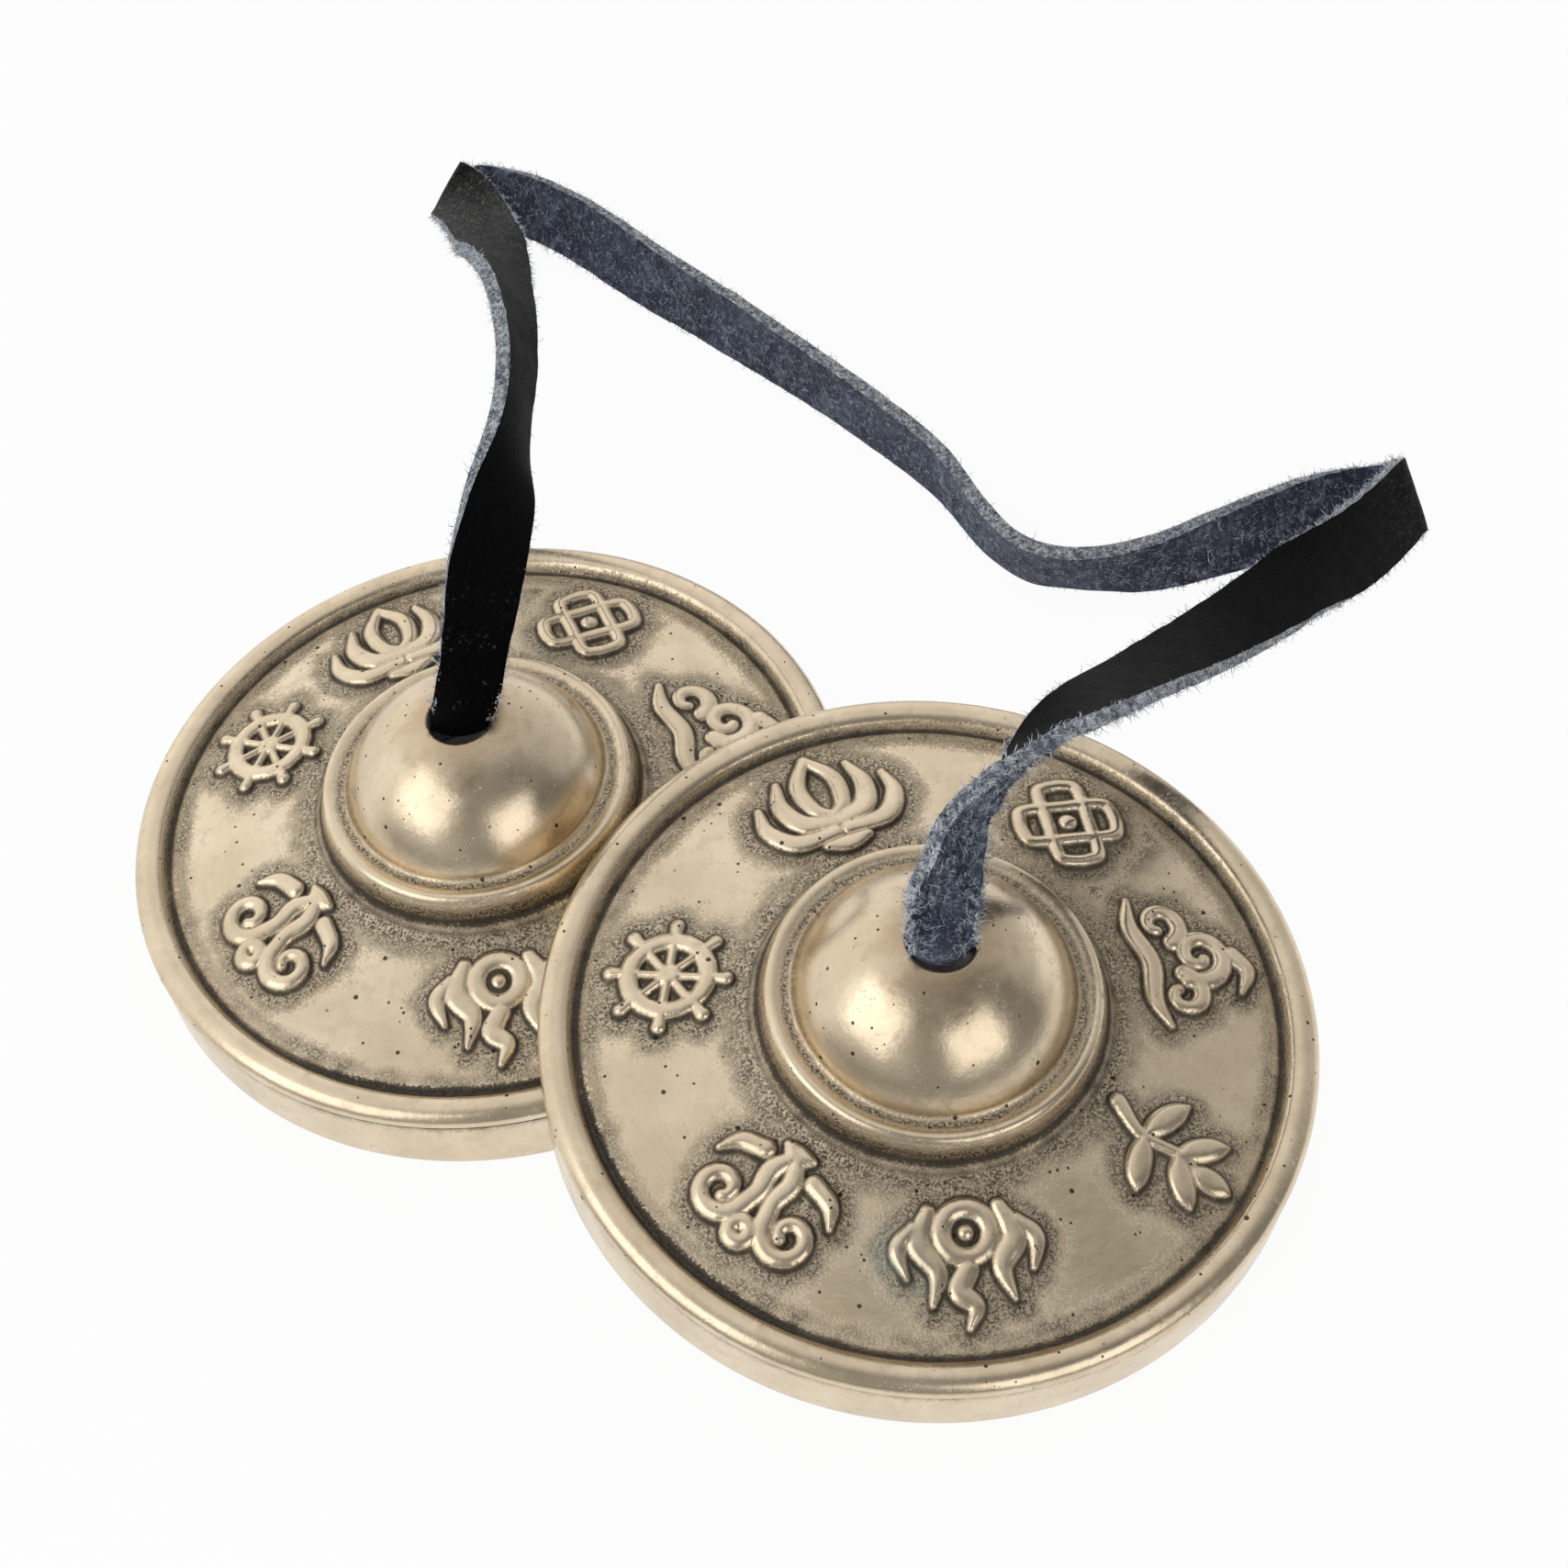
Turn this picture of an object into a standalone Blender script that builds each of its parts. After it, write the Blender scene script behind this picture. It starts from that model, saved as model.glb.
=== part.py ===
"""Tingsha: two cast hand cymbals joined by one flat leather thong.

One cymbal lies flat and the other leans on its rim. The thong comes up through the hole in each
dome, and a stopper knot in each of its ends holds the cymbal from below. Lengths are in metres.
"""

import math

import bmesh
import bpy
from mathutils import Matrix, Vector

for old in list(bpy.data.objects):
    bpy.data.objects.remove(old, do_unlink=True)

# Cymbal casting, heights from the foot
rim_radius = 0.0325
bead_height = 0.0075
bead_radius_share = 0.954
dome_height = 0.0212
dome_base_radius = 0.0116
dome_wall = 0.0022
hole_radius = 0.0031
ring_crest_radius = 0.0129
ring_crest_height = 0.0133
ring_foot_radius = 0.0144
ring_foot_height = 0.0109
field_inner_radius = 0.0152
field_inner_height = 0.0095
field_outer_height = 0.0067
plate_thickness = 0.0025
foot_width = 0.0026

# Leather thong
strap_width = 0.0066
strap_thickness = 0.0016
knot_radius = 0.0014
hole_clearance = 0.0003

# Pose: the second cymbal leans on the first one's bead
spacing = 1.4615 * rim_radius
facing = math.radians(-42.6133)
rest_gap = 0.0003
turn_steps = 64

# The route was taken for a cymbal of these sizes, and follows other sizes in proportion
route_rim_radius = 0.0325
route_left_hole_height = 0.0202
route_right_hole = (0.03725, -0.03427, 0.02490)

casting_depth = bead_height + rest_gap
bead_radius = bead_radius_share * rim_radius
foot_radius = rim_radius - 0.0005
pivot_height = dome_height - 0.45 * dome_wall
across_dir = Vector((math.cos(facing), math.sin(facing), 0))
tilt_axis = Vector((-across_dir.y, across_dir.x, 0))

# The bead circle of the flat cymbal crosses the foot circle of the leaning one at two points
contact_reach = (spacing**2 + (bead_radius - 0.0014) ** 2 - bead_radius**2) / (2 * spacing)
lean_on_bead = math.atan(casting_depth / (contact_reach + foot_radius))
# The leaning foot's near edge also clears the flat cymbal's field
field_width = rim_radius - 0.0036 - field_inner_radius
near_share = (spacing - foot_radius - field_inner_radius) / field_width
field_near = field_inner_height + (field_outer_height - field_inner_height) * near_share + 0.0001
lean_on_field = math.asin((field_near + rest_gap) / (2 * foot_radius))
lean = max(lean_on_bead, lean_on_field)
lean_turn = Matrix.Rotation(lean, 4, tilt_axis)
right_axis = lean_turn @ Vector((0, 0, 1))
right_local = across_dir * spacing + Vector((0, 0, foot_radius * math.sin(lean)))

# The pair is centred on the origin
side_height = 0.0064 * bead_height / 0.0075
far_x = right_local.x + side_height * right_axis.x + rim_radius * math.sqrt(1 - right_axis.x**2)
far_y = right_local.y + side_height * right_axis.y - rim_radius * math.sqrt(1 - right_axis.y**2)
left_place = Vector(((rim_radius - far_x) / 2, -(rim_radius + far_y) / 2, 0))
right_place = left_place + right_local

# Widest flat strip that passes the hole
neck_width = 2 * math.sqrt((hole_radius - hole_clearance) ** 2 - (strap_thickness / 2) ** 2)

left_pivot = left_place + Vector((0, 0, pivot_height))
right_pivot = right_place + right_axis * pivot_height

# Thong stations in mm from the left cymbal's centre on the floor: centre of the strip, the direction
# across it, and its width as a share of the strap width
left_rise = [
    (0.0, 0.0, 20.2, 0.95, 0.31, 0.00, 0.80),
    (0.2, 0.1, 21.8, 0.95, 0.31, 0.00, 0.80),
    (1.2, -0.1, 24.0, 0.86, 0.38, -0.34, 0.84),
    (2.4, 1.6, 27.9, 0.79, 0.27, -0.56, 0.93),
    (4.6, 6.4, 31.3, 0.71, 0.26, -0.66, 0.98),
    (6.7, 12.4, 33.6, 0.63, 0.26, -0.73, 1.00),
    (8.2, 18.3, 35.1, 0.48, 0.31, -0.82, 1.00),
    (9.2, 23.7, 35.8, 0.39, 0.30, -0.87, 1.00),
    (9.6, 28.9, 35.5, 0.45, 0.20, -0.87, 1.00),
    (9.3, 37.9, 32.9, 0.59, 0.19, -0.79, 1.00),
    (8.1, 49.4, 26.6, 0.80, 0.21, -0.52, 1.00),
    (6.7, 63.3, 18.5, 0.86, 0.33, 0.33, 1.00),
    (4.9, 73.5, 12.5, 0.80, 0.39, 0.45, 1.00),
    (3.7, 79.5, 9.0, 0.77, 0.43, 0.47, 1.00),
]
fold = [
    (2.3, 84.8, 6.3, 0.66, 0.59, 0.47, 1.00),
    (1.7, 86.3, 5.5, 0.61, 0.63, 0.48, 1.00),
    (1.5, 87.0, 4.8, 0.61, 0.63, 0.48, 1.00),
    (1.7, 87.4, 4.0, 0.61, 0.63, 0.48, 1.00),
    (2.3, 87.5, 3.1, 0.61, 0.63, 0.48, 1.00),
    (3.0, 87.2, 2.6, 0.60, 0.63, 0.49, 1.00),
    (3.8, 86.7, 2.5, 0.57, 0.62, 0.54, 1.00),
]
floor_run = [
    (9.1, 84.0, 3.3, 0.34, 0.45, 0.83, 1.00),
    (14.4, 79.3, 3.3, 0.36, 0.34, 0.87, 1.00),
    (21.8, 70.3, 3.4, 0.38, 0.24, 0.89, 1.00),
    (29.6, 60.7, 3.4, 0.39, 0.18, 0.90, 1.00),
    (39.2, 48.0, 3.4, 0.32, 0.04, 0.95, 1.00),
    (46.4, 37.0, 3.4, 0.26, -0.08, 0.96, 1.00),
    (50.1, 28.3, 3.4, 0.19, -0.10, 0.98, 1.00),
    (53.0, 23.5, 3.4, 0.07, -0.14, 0.99, 1.00),
    (56.3, 21.3, 3.4, 0.01, -0.14, 0.99, 1.00),
    (60.6, 20.1, 3.4, -0.02, -0.08, 1.00, 1.00),
    (65.5, 19.8, 3.4, -0.08, 0.12, 0.99, 1.00),
    (71.3, 20.7, 3.6, -0.10, 0.27, 0.96, 1.03),
    (76.6, 21.9, 3.6, -0.09, 0.42, 0.90, 1.06),
    (81.8, 23.1, 3.4, -0.09, 0.60, 0.80, 1.08),
]
turn_back = [
    (86.0, 23.3, 3.2, -0.10, 0.73, 0.68, 1.09),
    (88.6, 22.5, 3.9, -0.11, 0.79, 0.60, 1.09),
    (89.6, 21.6, 5.2, -0.11, 0.79, 0.60, 1.09),
    (89.8, 20.5, 6.6, -0.11, 0.79, 0.60, 1.09),
    (89.1, 19.1, 7.8, -0.13, 0.78, 0.61, 1.09),
]
right_rise = [
    (84.4, 13.5, 10.3, -0.20, 0.75, 0.63, 1.08),
    (79.9, 8.8, 13.0, -0.23, 0.83, 0.51, 1.06),
    (74.4, 3.6, 16.6, -0.27, 0.91, 0.29, 1.04),
    (68.5, -2.2, 20.3, -0.33, 0.94, 0.11, 1.01),
    (62.9, -7.8, 24.4, -0.39, 0.91, -0.06, 1.00),
    (57.8, -12.9, 28.4, -0.41, 0.88, -0.22, 1.00),
    (52.8, -17.6, 32.1, -0.41, 0.82, -0.39, 1.00),
    (49.7, -20.7, 34.0, -0.32, 0.77, -0.55, 1.00),
    (47.2, -23.3, 34.9, -0.20, 0.66, -0.72, 1.00),
    (44.7, -26.1, 35.3, -0.08, 0.45, -0.88, 1.00),
    (43.2, -27.4, 35.2, 0.10, 0.30, -0.94, 1.00),
    (42.0, -28.4, 35.0, 0.20, 0.25, -0.94, 1.00),
    (40.8, -29.6, 34.5, 0.35, 0.18, -0.92, 1.00),
    (39.9, -30.8, 33.9, 0.51, 0.16, -0.84, 0.98),
    (39.1, -32.2, 32.8, 0.68, 0.15, -0.72, 0.94),
    (38.3, -33.4, 31.3, 0.82, 0.11, -0.56, 0.91),
    (37.7, -34.2, 29.3, 0.94, 0.02, -0.33, 0.86),
    (37.5, -34.5, 27.4, 0.99, 0.01, -0.11, 0.80),
    (37.2, -34.3, 24.9, 0.99, 0.01, -0.11, 0.80),
]

# Overhand knot: path of the strip in mm below the middle of the hole's wall
knot_path = [
    (0.0, 0.0, 0.0),
    (0.0, 0.0, -2.75),
    (-0.24, 0.04, -5.69),
    (-0.42, -0.06, -9.91),
    (2.59, -0.05, -12.08),
    (5.73, 0.39, -10.35),
    (5.42, 1.53, -6.27),
    (1.61, 3.22, -4.73),
    (-1.80, 2.99, -4.73),
    (-3.75, 0.28, -5.61),
    (-2.41, -2.71, -6.77),
    (0.60, -3.24, -7.67),
    (2.63, -1.17, -8.29),
    (2.49, 2.22, -9.34),
    (2.35, 3.85, -12.86),
    (2.61, 4.34, -15.77),
]


def material(name, colour, roughness, metallic):
    made = bpy.data.materials.new(name)
    made.use_nodes = True
    shader = made.node_tree.nodes["Principled BSDF"]
    shader.inputs["Base Color"].default_value = (*colour, 1)
    shader.inputs["Roughness"].default_value = roughness
    shader.inputs["Metallic"].default_value = metallic
    return made


def add(collection, name, mesh, surface):
    made = bpy.data.objects.new(name, mesh)
    made.data.materials.append(surface)
    collection.objects.link(made)
    return made


def through(points, steps):
    """A smooth curve through the points: steps places in each stretch between two of them."""
    ends = [2 * points[0] - points[1], *points, 2 * points[-1] - points[-2]]
    made = []
    for before, start, stop, after in zip(ends, ends[1:], ends[2:], ends[3:]):
        for step in range(steps):
            at = step / steps
            straight = 2 * start + (stop - before) * at
            bent = (2 * before - 5 * start + 4 * stop - after) * at**2
            made.append((straight + bent + (3 * start - before - 3 * stop + after) * at**3) / 2)
    return [*made, points[-1]]


def casting_profile():
    """Half section of the casting, from the top of the hole down the outside and back up inside."""
    dome_foot = ring_crest_height - 0.0004
    flank = (dome_height - dome_foot) / math.sqrt(1 - (hole_radius / dome_base_radius) ** 2)
    profile = [(hole_radius, dome_height)]
    first_angle = math.acos(hole_radius / dome_base_radius)
    for share in (0.86, 0.72, 0.58, 0.44, 0.30, 0.15, 0.0):
        angle = first_angle * share
        reach = dome_base_radius * math.cos(angle)
        profile.append((reach, dome_foot + flank * math.sin(angle)))
    inner_reach = dome_base_radius - dome_wall
    roof = dome_height - dome_wall
    under = field_outer_height - plate_thickness
    profile += [
        (dome_base_radius + 0.0003, ring_crest_height - 0.0006),
        (ring_crest_radius - 0.0005, ring_crest_height - 0.0002),
        (ring_crest_radius, ring_crest_height),
        (ring_crest_radius + 0.0006, ring_crest_height - 0.0003),
        (ring_foot_radius, ring_foot_height),
        (ring_foot_radius + 0.0002, ring_foot_height - 0.0007),
        (field_inner_radius, field_inner_height + 0.0001),
        (0.63 * rim_radius, 0.55 * field_inner_height + 0.45 * field_outer_height + 0.0002),
        (0.78 * rim_radius, 0.26 * field_inner_height + 0.74 * field_outer_height + 0.0001),
        (rim_radius - 0.0036, field_outer_height),
        (rim_radius - 0.0032, field_outer_height - 0.0002),
        (rim_radius - 0.0026, bead_height - 0.0005),
        (bead_radius - 0.0007, bead_height - 0.0001),
        (bead_radius, bead_height),
        (rim_radius - 0.0004, bead_height - 0.0004),
        (rim_radius, bead_height - 0.0011),
        (rim_radius - 0.0001, bead_height - 0.0015),
        (rim_radius - 0.00025, bead_height - 0.00165),
        (rim_radius - 0.00025, 0.0003),
        (foot_radius, 0.0),
        (foot_radius - foot_width + 0.0002, 0.0),
        (foot_radius - foot_width, 0.0002),
        (foot_radius - foot_width - 0.0002, under - 0.0006),
        (foot_radius - foot_width - 0.0010, under + 0.0001),
        (0.63 * rim_radius, 0.55 * field_inner_height + 0.45 * field_outer_height - plate_thickness),
        (field_inner_radius - 0.0010, field_inner_height - plate_thickness),
        (ring_foot_radius - 0.0020, ring_foot_height - plate_thickness - 0.0006),
        (inner_reach + 0.0010, ring_foot_height - plate_thickness + 0.0006),
        (inner_reach + 0.0001, ring_foot_height - plate_thickness + 0.0020),
        (inner_reach - 0.0003, dome_foot + 0.30 * (roof - dome_foot)),
        (0.86 * inner_reach, dome_foot + 0.55 * (roof - dome_foot)),
        (0.66 * inner_reach, dome_foot + 0.80 * (roof - dome_foot)),
        (hole_radius + 0.0014, roof - 0.0002),
        (hole_radius, roof),
    ]
    return profile


def cymbal(collection, name, surface, place, turn):
    outline = bmesh.new()
    ring = [outline.verts.new((reach, 0, height)) for reach, height in casting_profile()]
    for start, stop in zip(ring, ring[1:] + ring[:1]):
        outline.edges.new((start, stop))
    mesh = bpy.data.meshes.new(name)
    outline.to_mesh(mesh)
    outline.free()
    made = add(collection, name, mesh, surface)
    spin = made.modifiers.new("Turned about the dome's axis", "SCREW")
    spin.axis = "Z"
    spin.angle = math.tau
    spin.steps = turn_steps
    spin.render_steps = turn_steps
    spin.use_merge_vertices = True
    spin.merge_threshold = 0.00001
    spin.use_smooth_shade = True
    made.matrix_world = Matrix.Translation(place) @ turn
    return made


def floor_height(across, share):
    """Height of the strip's middle when its lower edge touches the floor."""
    level = math.sqrt(max(1 - across.z**2, 0))
    return share * strap_width / 2 * abs(across.z) + strap_thickness / 2 * level + 0.00005


def strap_route():
    """Places, directions across and widths along the thong, from hole to hole."""
    spread = rim_radius / route_rim_radius
    left_lift = pivot_height / route_left_hole_height
    right_lift = right_pivot.z / route_right_hole[2]
    stretches = (
        (left_rise, left_lift),
        (fold, 1),
        (floor_run, 1),
        (turn_back, 1),
        (right_rise, right_lift),
    )
    places, acrosses, shares = [], [], []
    for stations, lift in stretches:
        for x, y, z, *rest in stations:
            across = Vector(rest[:3]).normalized()
            share = rest[3]
            height = max(z / 1000 * lift, floor_height(across, share))
            places.append(left_place + Vector((x / 1000 * spread, y / 1000 * spread, height)))
            acrosses.append(across)
            shares.append(share)
    # Both ends meet their holes exactly, and the correction fades along the rise
    for pivot, rise, order in ((left_pivot, left_rise, 1), (right_pivot, right_rise, -1)):
        first = 0 if order > 0 else len(places) - 1
        offset = pivot - places[first]
        for index in range(len(rise)):
            fade = (1 - index / len(rise)) ** 2
            places[first + order * index] += offset * fade
    # The strip stops just short of the knots, which are pieces of their own here
    places[0] += Vector((0, 0, 0.00025))
    places[-1] += right_axis * 0.00025
    return places, acrosses, shares


def strap(collection, surface):
    places, acrosses, shares = strap_route()
    widest = [strap_width * share for share in shares]
    for end in (0, 1, len(widest) - 2, len(widest) - 1):
        widest[end] = min(widest[end], neck_width)
    middles = through(places, 3)
    sides = through([a * w / 2 for a, w in zip(acrosses, widest)], 3)
    strip = bmesh.new()
    rails = [
        (strip.verts.new(middle - side), strip.verts.new(middle + side))
        for middle, side in zip(middles, sides)
    ]
    for (left, right), (next_left, next_right) in zip(rails, rails[1:]):
        strip.faces.new((left, right, next_right, next_left))
    mesh = bpy.data.meshes.new("strap")
    strip.to_mesh(mesh)
    strip.free()
    made = add(collection, "strap", mesh, surface)
    made.data.shade_smooth()
    leather = made.modifiers.new("Thickness of the leather", "SOLIDIFY")
    leather.thickness = strap_thickness
    leather.offset = 0
    return made


def knot(collection, name, surface, pivot, turn):
    """Stopper knot: flat where it passes the hole, gathered round in the knot, flat at its tail."""
    path = through([Vector(point) / 1000 for point in knot_path], 4)
    path[0] = Vector((0, 0, -0.00025))
    sections = 12
    flat_half = min(0.8 * strap_width, neck_width) / 2
    thin_half = strap_thickness / 2
    tube = bmesh.new()
    rings = []
    side = Vector((1, 0, 0))
    for index, centre in enumerate(path):
        ahead = path[min(index + 1, len(path) - 1)] - path[max(index - 1, 0)]
        ahead.normalize()
        side = (side - ahead * side.dot(ahead)).normalized()
        up = ahead.cross(side)
        from_hole = min(max((index - 3) / 6, 0), 1)
        from_tail = min(max((len(path) - 1 - index) / 7, 0), 1)
        gathered = min(from_hole, from_tail)
        half = flat_half + (knot_radius - flat_half) * gathered
        thick = thin_half + (knot_radius - thin_half) * gathered
        square = 0.45 + 0.55 * gathered
        ring = []
        for corner in range(sections):
            angle = math.tau * (corner + 0.5) / sections
            turn_x = math.copysign(abs(math.cos(angle)) ** square, math.cos(angle))
            turn_y = math.copysign(abs(math.sin(angle)) ** square, math.sin(angle))
            ring.append(tube.verts.new(centre + side * half * turn_x + up * thick * turn_y))
        rings.append(ring)
    for ring, following in zip(rings, rings[1:]):
        for corner in range(sections):
            beside = (corner + 1) % sections
            tube.faces.new((ring[corner], ring[beside], following[beside], following[corner]))
    tube.faces.new(rings[0][::-1])
    tube.faces.new(rings[-1])
    bmesh.ops.recalc_face_normals(tube, faces=tube.faces)
    mesh = bpy.data.meshes.new(name)
    tube.to_mesh(mesh)
    tube.free()
    made = add(collection, name, mesh, surface)
    made.data.shade_smooth()
    made.matrix_world = Matrix.Translation(pivot) @ turn
    return made


tingsha = bpy.data.collections.new("tingsha")
bpy.context.scene.collection.children.link(tingsha)

bronze_left = material("Bronze of the left cymbal", (0.48, 0.39, 0.25), 0.34, 1.0)
bronze_right = material("Bronze of the right cymbal", (0.50, 0.41, 0.27), 0.33, 1.0)
leather_strip = material("Black leather", (0.016, 0.016, 0.018), 0.55, 0.0)
leather_left = material("Black leather of the left knot", (0.018, 0.018, 0.020), 0.6, 0.0)
leather_right = material("Black leather of the right knot", (0.018, 0.018, 0.020), 0.6, 0.0)

upright = Matrix.Identity(4)
left_yaw = Matrix.Rotation(math.atan2(0.31, 0.95), 4, "Z")
cymbal(tingsha, "cymbal_left", bronze_left, left_place, upright)
cymbal(tingsha, "cymbal_right", bronze_right, right_place, lean_turn)
strap(tingsha, leather_strip)
knot(tingsha, "strap_knot_left", leather_left, left_pivot, left_yaw)
knot(tingsha, "strap_knot_right", leather_right, right_pivot, lean_turn)
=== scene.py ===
import math
import random

import bmesh
import bpy
import numpy as np
from mathutils import Matrix, Vector


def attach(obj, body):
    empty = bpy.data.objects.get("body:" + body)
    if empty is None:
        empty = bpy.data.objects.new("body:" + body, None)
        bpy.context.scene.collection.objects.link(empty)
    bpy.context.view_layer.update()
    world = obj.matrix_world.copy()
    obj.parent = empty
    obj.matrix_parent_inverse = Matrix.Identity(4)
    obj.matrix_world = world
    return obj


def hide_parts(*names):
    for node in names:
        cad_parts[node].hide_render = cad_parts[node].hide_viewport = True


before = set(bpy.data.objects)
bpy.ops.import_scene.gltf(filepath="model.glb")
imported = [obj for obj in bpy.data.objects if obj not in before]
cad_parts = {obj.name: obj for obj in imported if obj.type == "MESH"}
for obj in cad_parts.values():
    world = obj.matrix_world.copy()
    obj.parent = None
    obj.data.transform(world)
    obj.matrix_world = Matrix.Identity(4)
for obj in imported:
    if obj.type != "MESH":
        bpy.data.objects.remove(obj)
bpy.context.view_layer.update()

# The view: the pair seen from above and in front, with the flat cymbal on the left.
eye = Vector((0.009256, -0.157647, 0.229215))
view_right = Vector((0.98727, -0.12576, -0.09735)).normalized()
view_ahead = Vector((0.0, 0.61213, -0.79076)).normalized()
view_up = view_right.cross(view_ahead).normalized()
camera = bpy.data.objects.new("camera", bpy.data.cameras.new("camera"))
camera.data.sensor_width = 36.0
camera.data.lens = 71.49
camera.data.clip_start = 0.01
turned = Matrix((view_right, view_up, -view_ahead)).transposed().to_4x4()
camera.matrix_world = Matrix.Translation(eye) @ turned
bpy.context.scene.collection.objects.link(camera)
bpy.context.scene.camera = camera


# Thong: one strip cut from black cowhide, 6.6 mm wide and 1.36 mm thick, with black grain on one face
# and fibrous flesh on the other. It comes up through the hole of each dome, and a knot in each end
# holds a cymbal.
thong_thickness = 0.00136
thong_width = 0.0066
row_spacing = 0.00045
thong_columns = 12
# Stations in mm: middle of the strip, direction across it, and its width
thong_route = [
    (-17.72, 15.57, 20.46, 0.99, 0.03, -0.13, 4.15),
    (-17.62, 15.89, 21.82, 0.94, -0.18, -0.30, 4.35),
    (-16.58, 16.11, 24.04, 0.95, -0.15, -0.28, 5.05),
    (-15.12, 17.97, 27.95, 0.94, -0.12, -0.33, 5.60),
    (-13.32, 22.77, 31.36, 0.89, -0.13, -0.44, 6.30),
    (-11.17, 28.76, 33.65, 0.69, 0.02, -0.73, 6.60),
    (-9.65, 34.64, 35.14, 0.24, 0.13, -0.96, 6.60),
    (-8.62, 40.03, 35.83, 0.14, 0.03, -0.99, 6.60),
    (-8.20, 45.23, 35.52, 0.24, -0.18, -0.95, 6.60),
    (-8.49, 54.22, 32.92, 0.45, -0.33, -0.83, 6.60),
    (-9.77, 65.71, 26.60, 0.73, -0.28, -0.62, 6.60),
    (-11.29, 79.57, 18.47, 0.99, 0.10, -0.06, 6.60),
    (-12.91, 89.79, 12.49, 0.98, 0.19, 0.04, 6.60),
    (-14.05, 95.81, 9.00, 0.93, 0.32, 0.20, 6.60),
    (-15.45, 101.11, 6.30, 0.79, 0.45, 0.42, 6.60),
    (-16.05, 102.60, 5.49, 0.62, 0.61, 0.50, 6.60),
    (-16.20, 103.33, 4.81, 0.61, 0.64, 0.47, 6.60),
    (-16.00, 103.75, 4.02, 0.61, 0.64, 0.47, 6.60),
    (-15.60, 103.85, 3.35, 0.61, 0.64, 0.47, 6.60),
    (-15.10, 103.72, 2.85, 0.58, 0.64, 0.51, 6.60),
    (-13.85, 103.60, 3.40, 0.46, 0.62, 0.64, 7.00),
    (-8.51, 100.70, 3.72, 0.31, 0.48, 0.82, 6.60),
    (-3.15, 95.82, 3.46, 0.39, 0.36, 0.85, 6.60),
    (4.11, 86.66, 3.43, 0.30, 0.25, 0.92, 6.60),
    (11.91, 77.07, 3.44, 0.19, 0.15, 0.97, 6.60),
    (21.59, 64.43, 3.51, 0.07, 0.05, 1.00, 6.60),
    (28.90, 53.47, 3.56, 0.03, 0.02, 1.00, 6.60),
    (32.44, 44.66, 3.47, -0.06, -0.03, 1.00, 6.60),
    (35.32, 39.88, 3.47, -0.15, -0.13, 0.98, 6.60),
    (38.62, 37.76, 3.54, -0.11, -0.25, 0.96, 6.60),
    (42.89, 36.63, 3.56, -0.03, -0.20, 0.98, 6.60),
    (47.74, 36.32, 3.58, -0.03, 0.04, 1.00, 6.60),
    (53.52, 37.22, 3.75, -0.06, 0.23, 0.97, 6.80),
    (58.83, 38.38, 3.73, -0.07, 0.38, 0.92, 7.00),
    (64.05, 39.49, 3.45, -0.06, 0.57, 0.82, 7.13),
    (68.26, 39.63, 3.21, 0.03, 0.72, 0.69, 7.19),
    (70.86, 38.82, 3.90, 0.01, 0.74, 0.67, 7.19),
    (71.86, 37.92, 5.20, -0.11, 0.79, 0.60, 7.19),
    (72.06, 36.82, 6.60, -0.11, 0.77, 0.63, 7.19),
    (71.36, 35.42, 7.80, -0.27, 0.62, 0.74, 7.19),
    (66.66, 29.82, 10.30, -0.32, 0.64, 0.70, 7.13),
    (62.16, 25.11, 12.99, -0.35, 0.73, 0.58, 7.00),
    (56.71, 19.86, 16.54, -0.54, 0.78, 0.32, 6.86),
    (50.85, 13.99, 20.18, -0.66, 0.74, 0.12, 6.67),
    (45.25, 8.35, 24.25, -0.72, 0.70, -0.02, 6.60),
    (40.14, 3.26, 28.26, -0.75, 0.64, -0.18, 6.60),
    (35.15, -1.45, 31.95, -0.76, 0.58, -0.30, 6.60),
    (32.10, -4.56, 33.85, -0.73, 0.49, -0.48, 6.60),
    (29.59, -7.09, 34.79, -0.58, 0.37, -0.73, 6.60),
    (27.00, -9.79, 35.27, -0.30, 0.32, -0.90, 6.60),
    (25.45, -11.03, 35.21, -0.07, 0.26, -0.96, 6.60),
    (24.22, -12.01, 35.02, 0.01, 0.26, -0.96, 6.60),
    (22.97, -13.19, 34.54, 0.23, 0.23, -0.95, 6.60),
    (22.04, -14.40, 33.93, 0.49, 0.29, -0.82, 6.47),
    (21.23, -15.80, 32.83, 0.60, 0.31, -0.74, 6.20),
    (20.42, -17.00, 31.33, 0.87, 0.24, -0.43, 6.01),
    (19.75, -18.75, 29.32, 0.97, 0.12, -0.19, 5.05),
    (19.54, -19.30, 27.30, 0.99, 0.05, -0.10, 4.35),
    (19.50, -18.85, 25.18, 0.99, 0.03, -0.12, 4.15),
]


def add_piece(name, mesh, *surfaces):
    """An object of its own for a finished mesh, with its materials."""
    made = bpy.data.objects.new(name, mesh)
    for surface in surfaces:
        mesh.materials.append(surface)
    bpy.context.scene.collection.objects.link(made)
    return made


def smooth_line(points, steps):
    """Points on a smooth curve through the given ones, steps to each stretch."""
    points = np.asarray(points, float)
    ends = np.vstack([2 * points[0] - points[1], points, 2 * points[-1] - points[-2]])
    at = (np.arange(steps) / steps)[:, None]
    made = []
    for before, start, stop, after in zip(ends, ends[1:], ends[2:], ends[3:]):
        bent = (2 * before - 5 * start + 4 * stop - after) * at**2
        cubic = (3 * start - before - 3 * stop + after) * at**3
        made.append((2 * start + (stop - before) * at + bent + cubic) / 2)
    return np.vstack([*made, points[-1:]])


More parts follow.
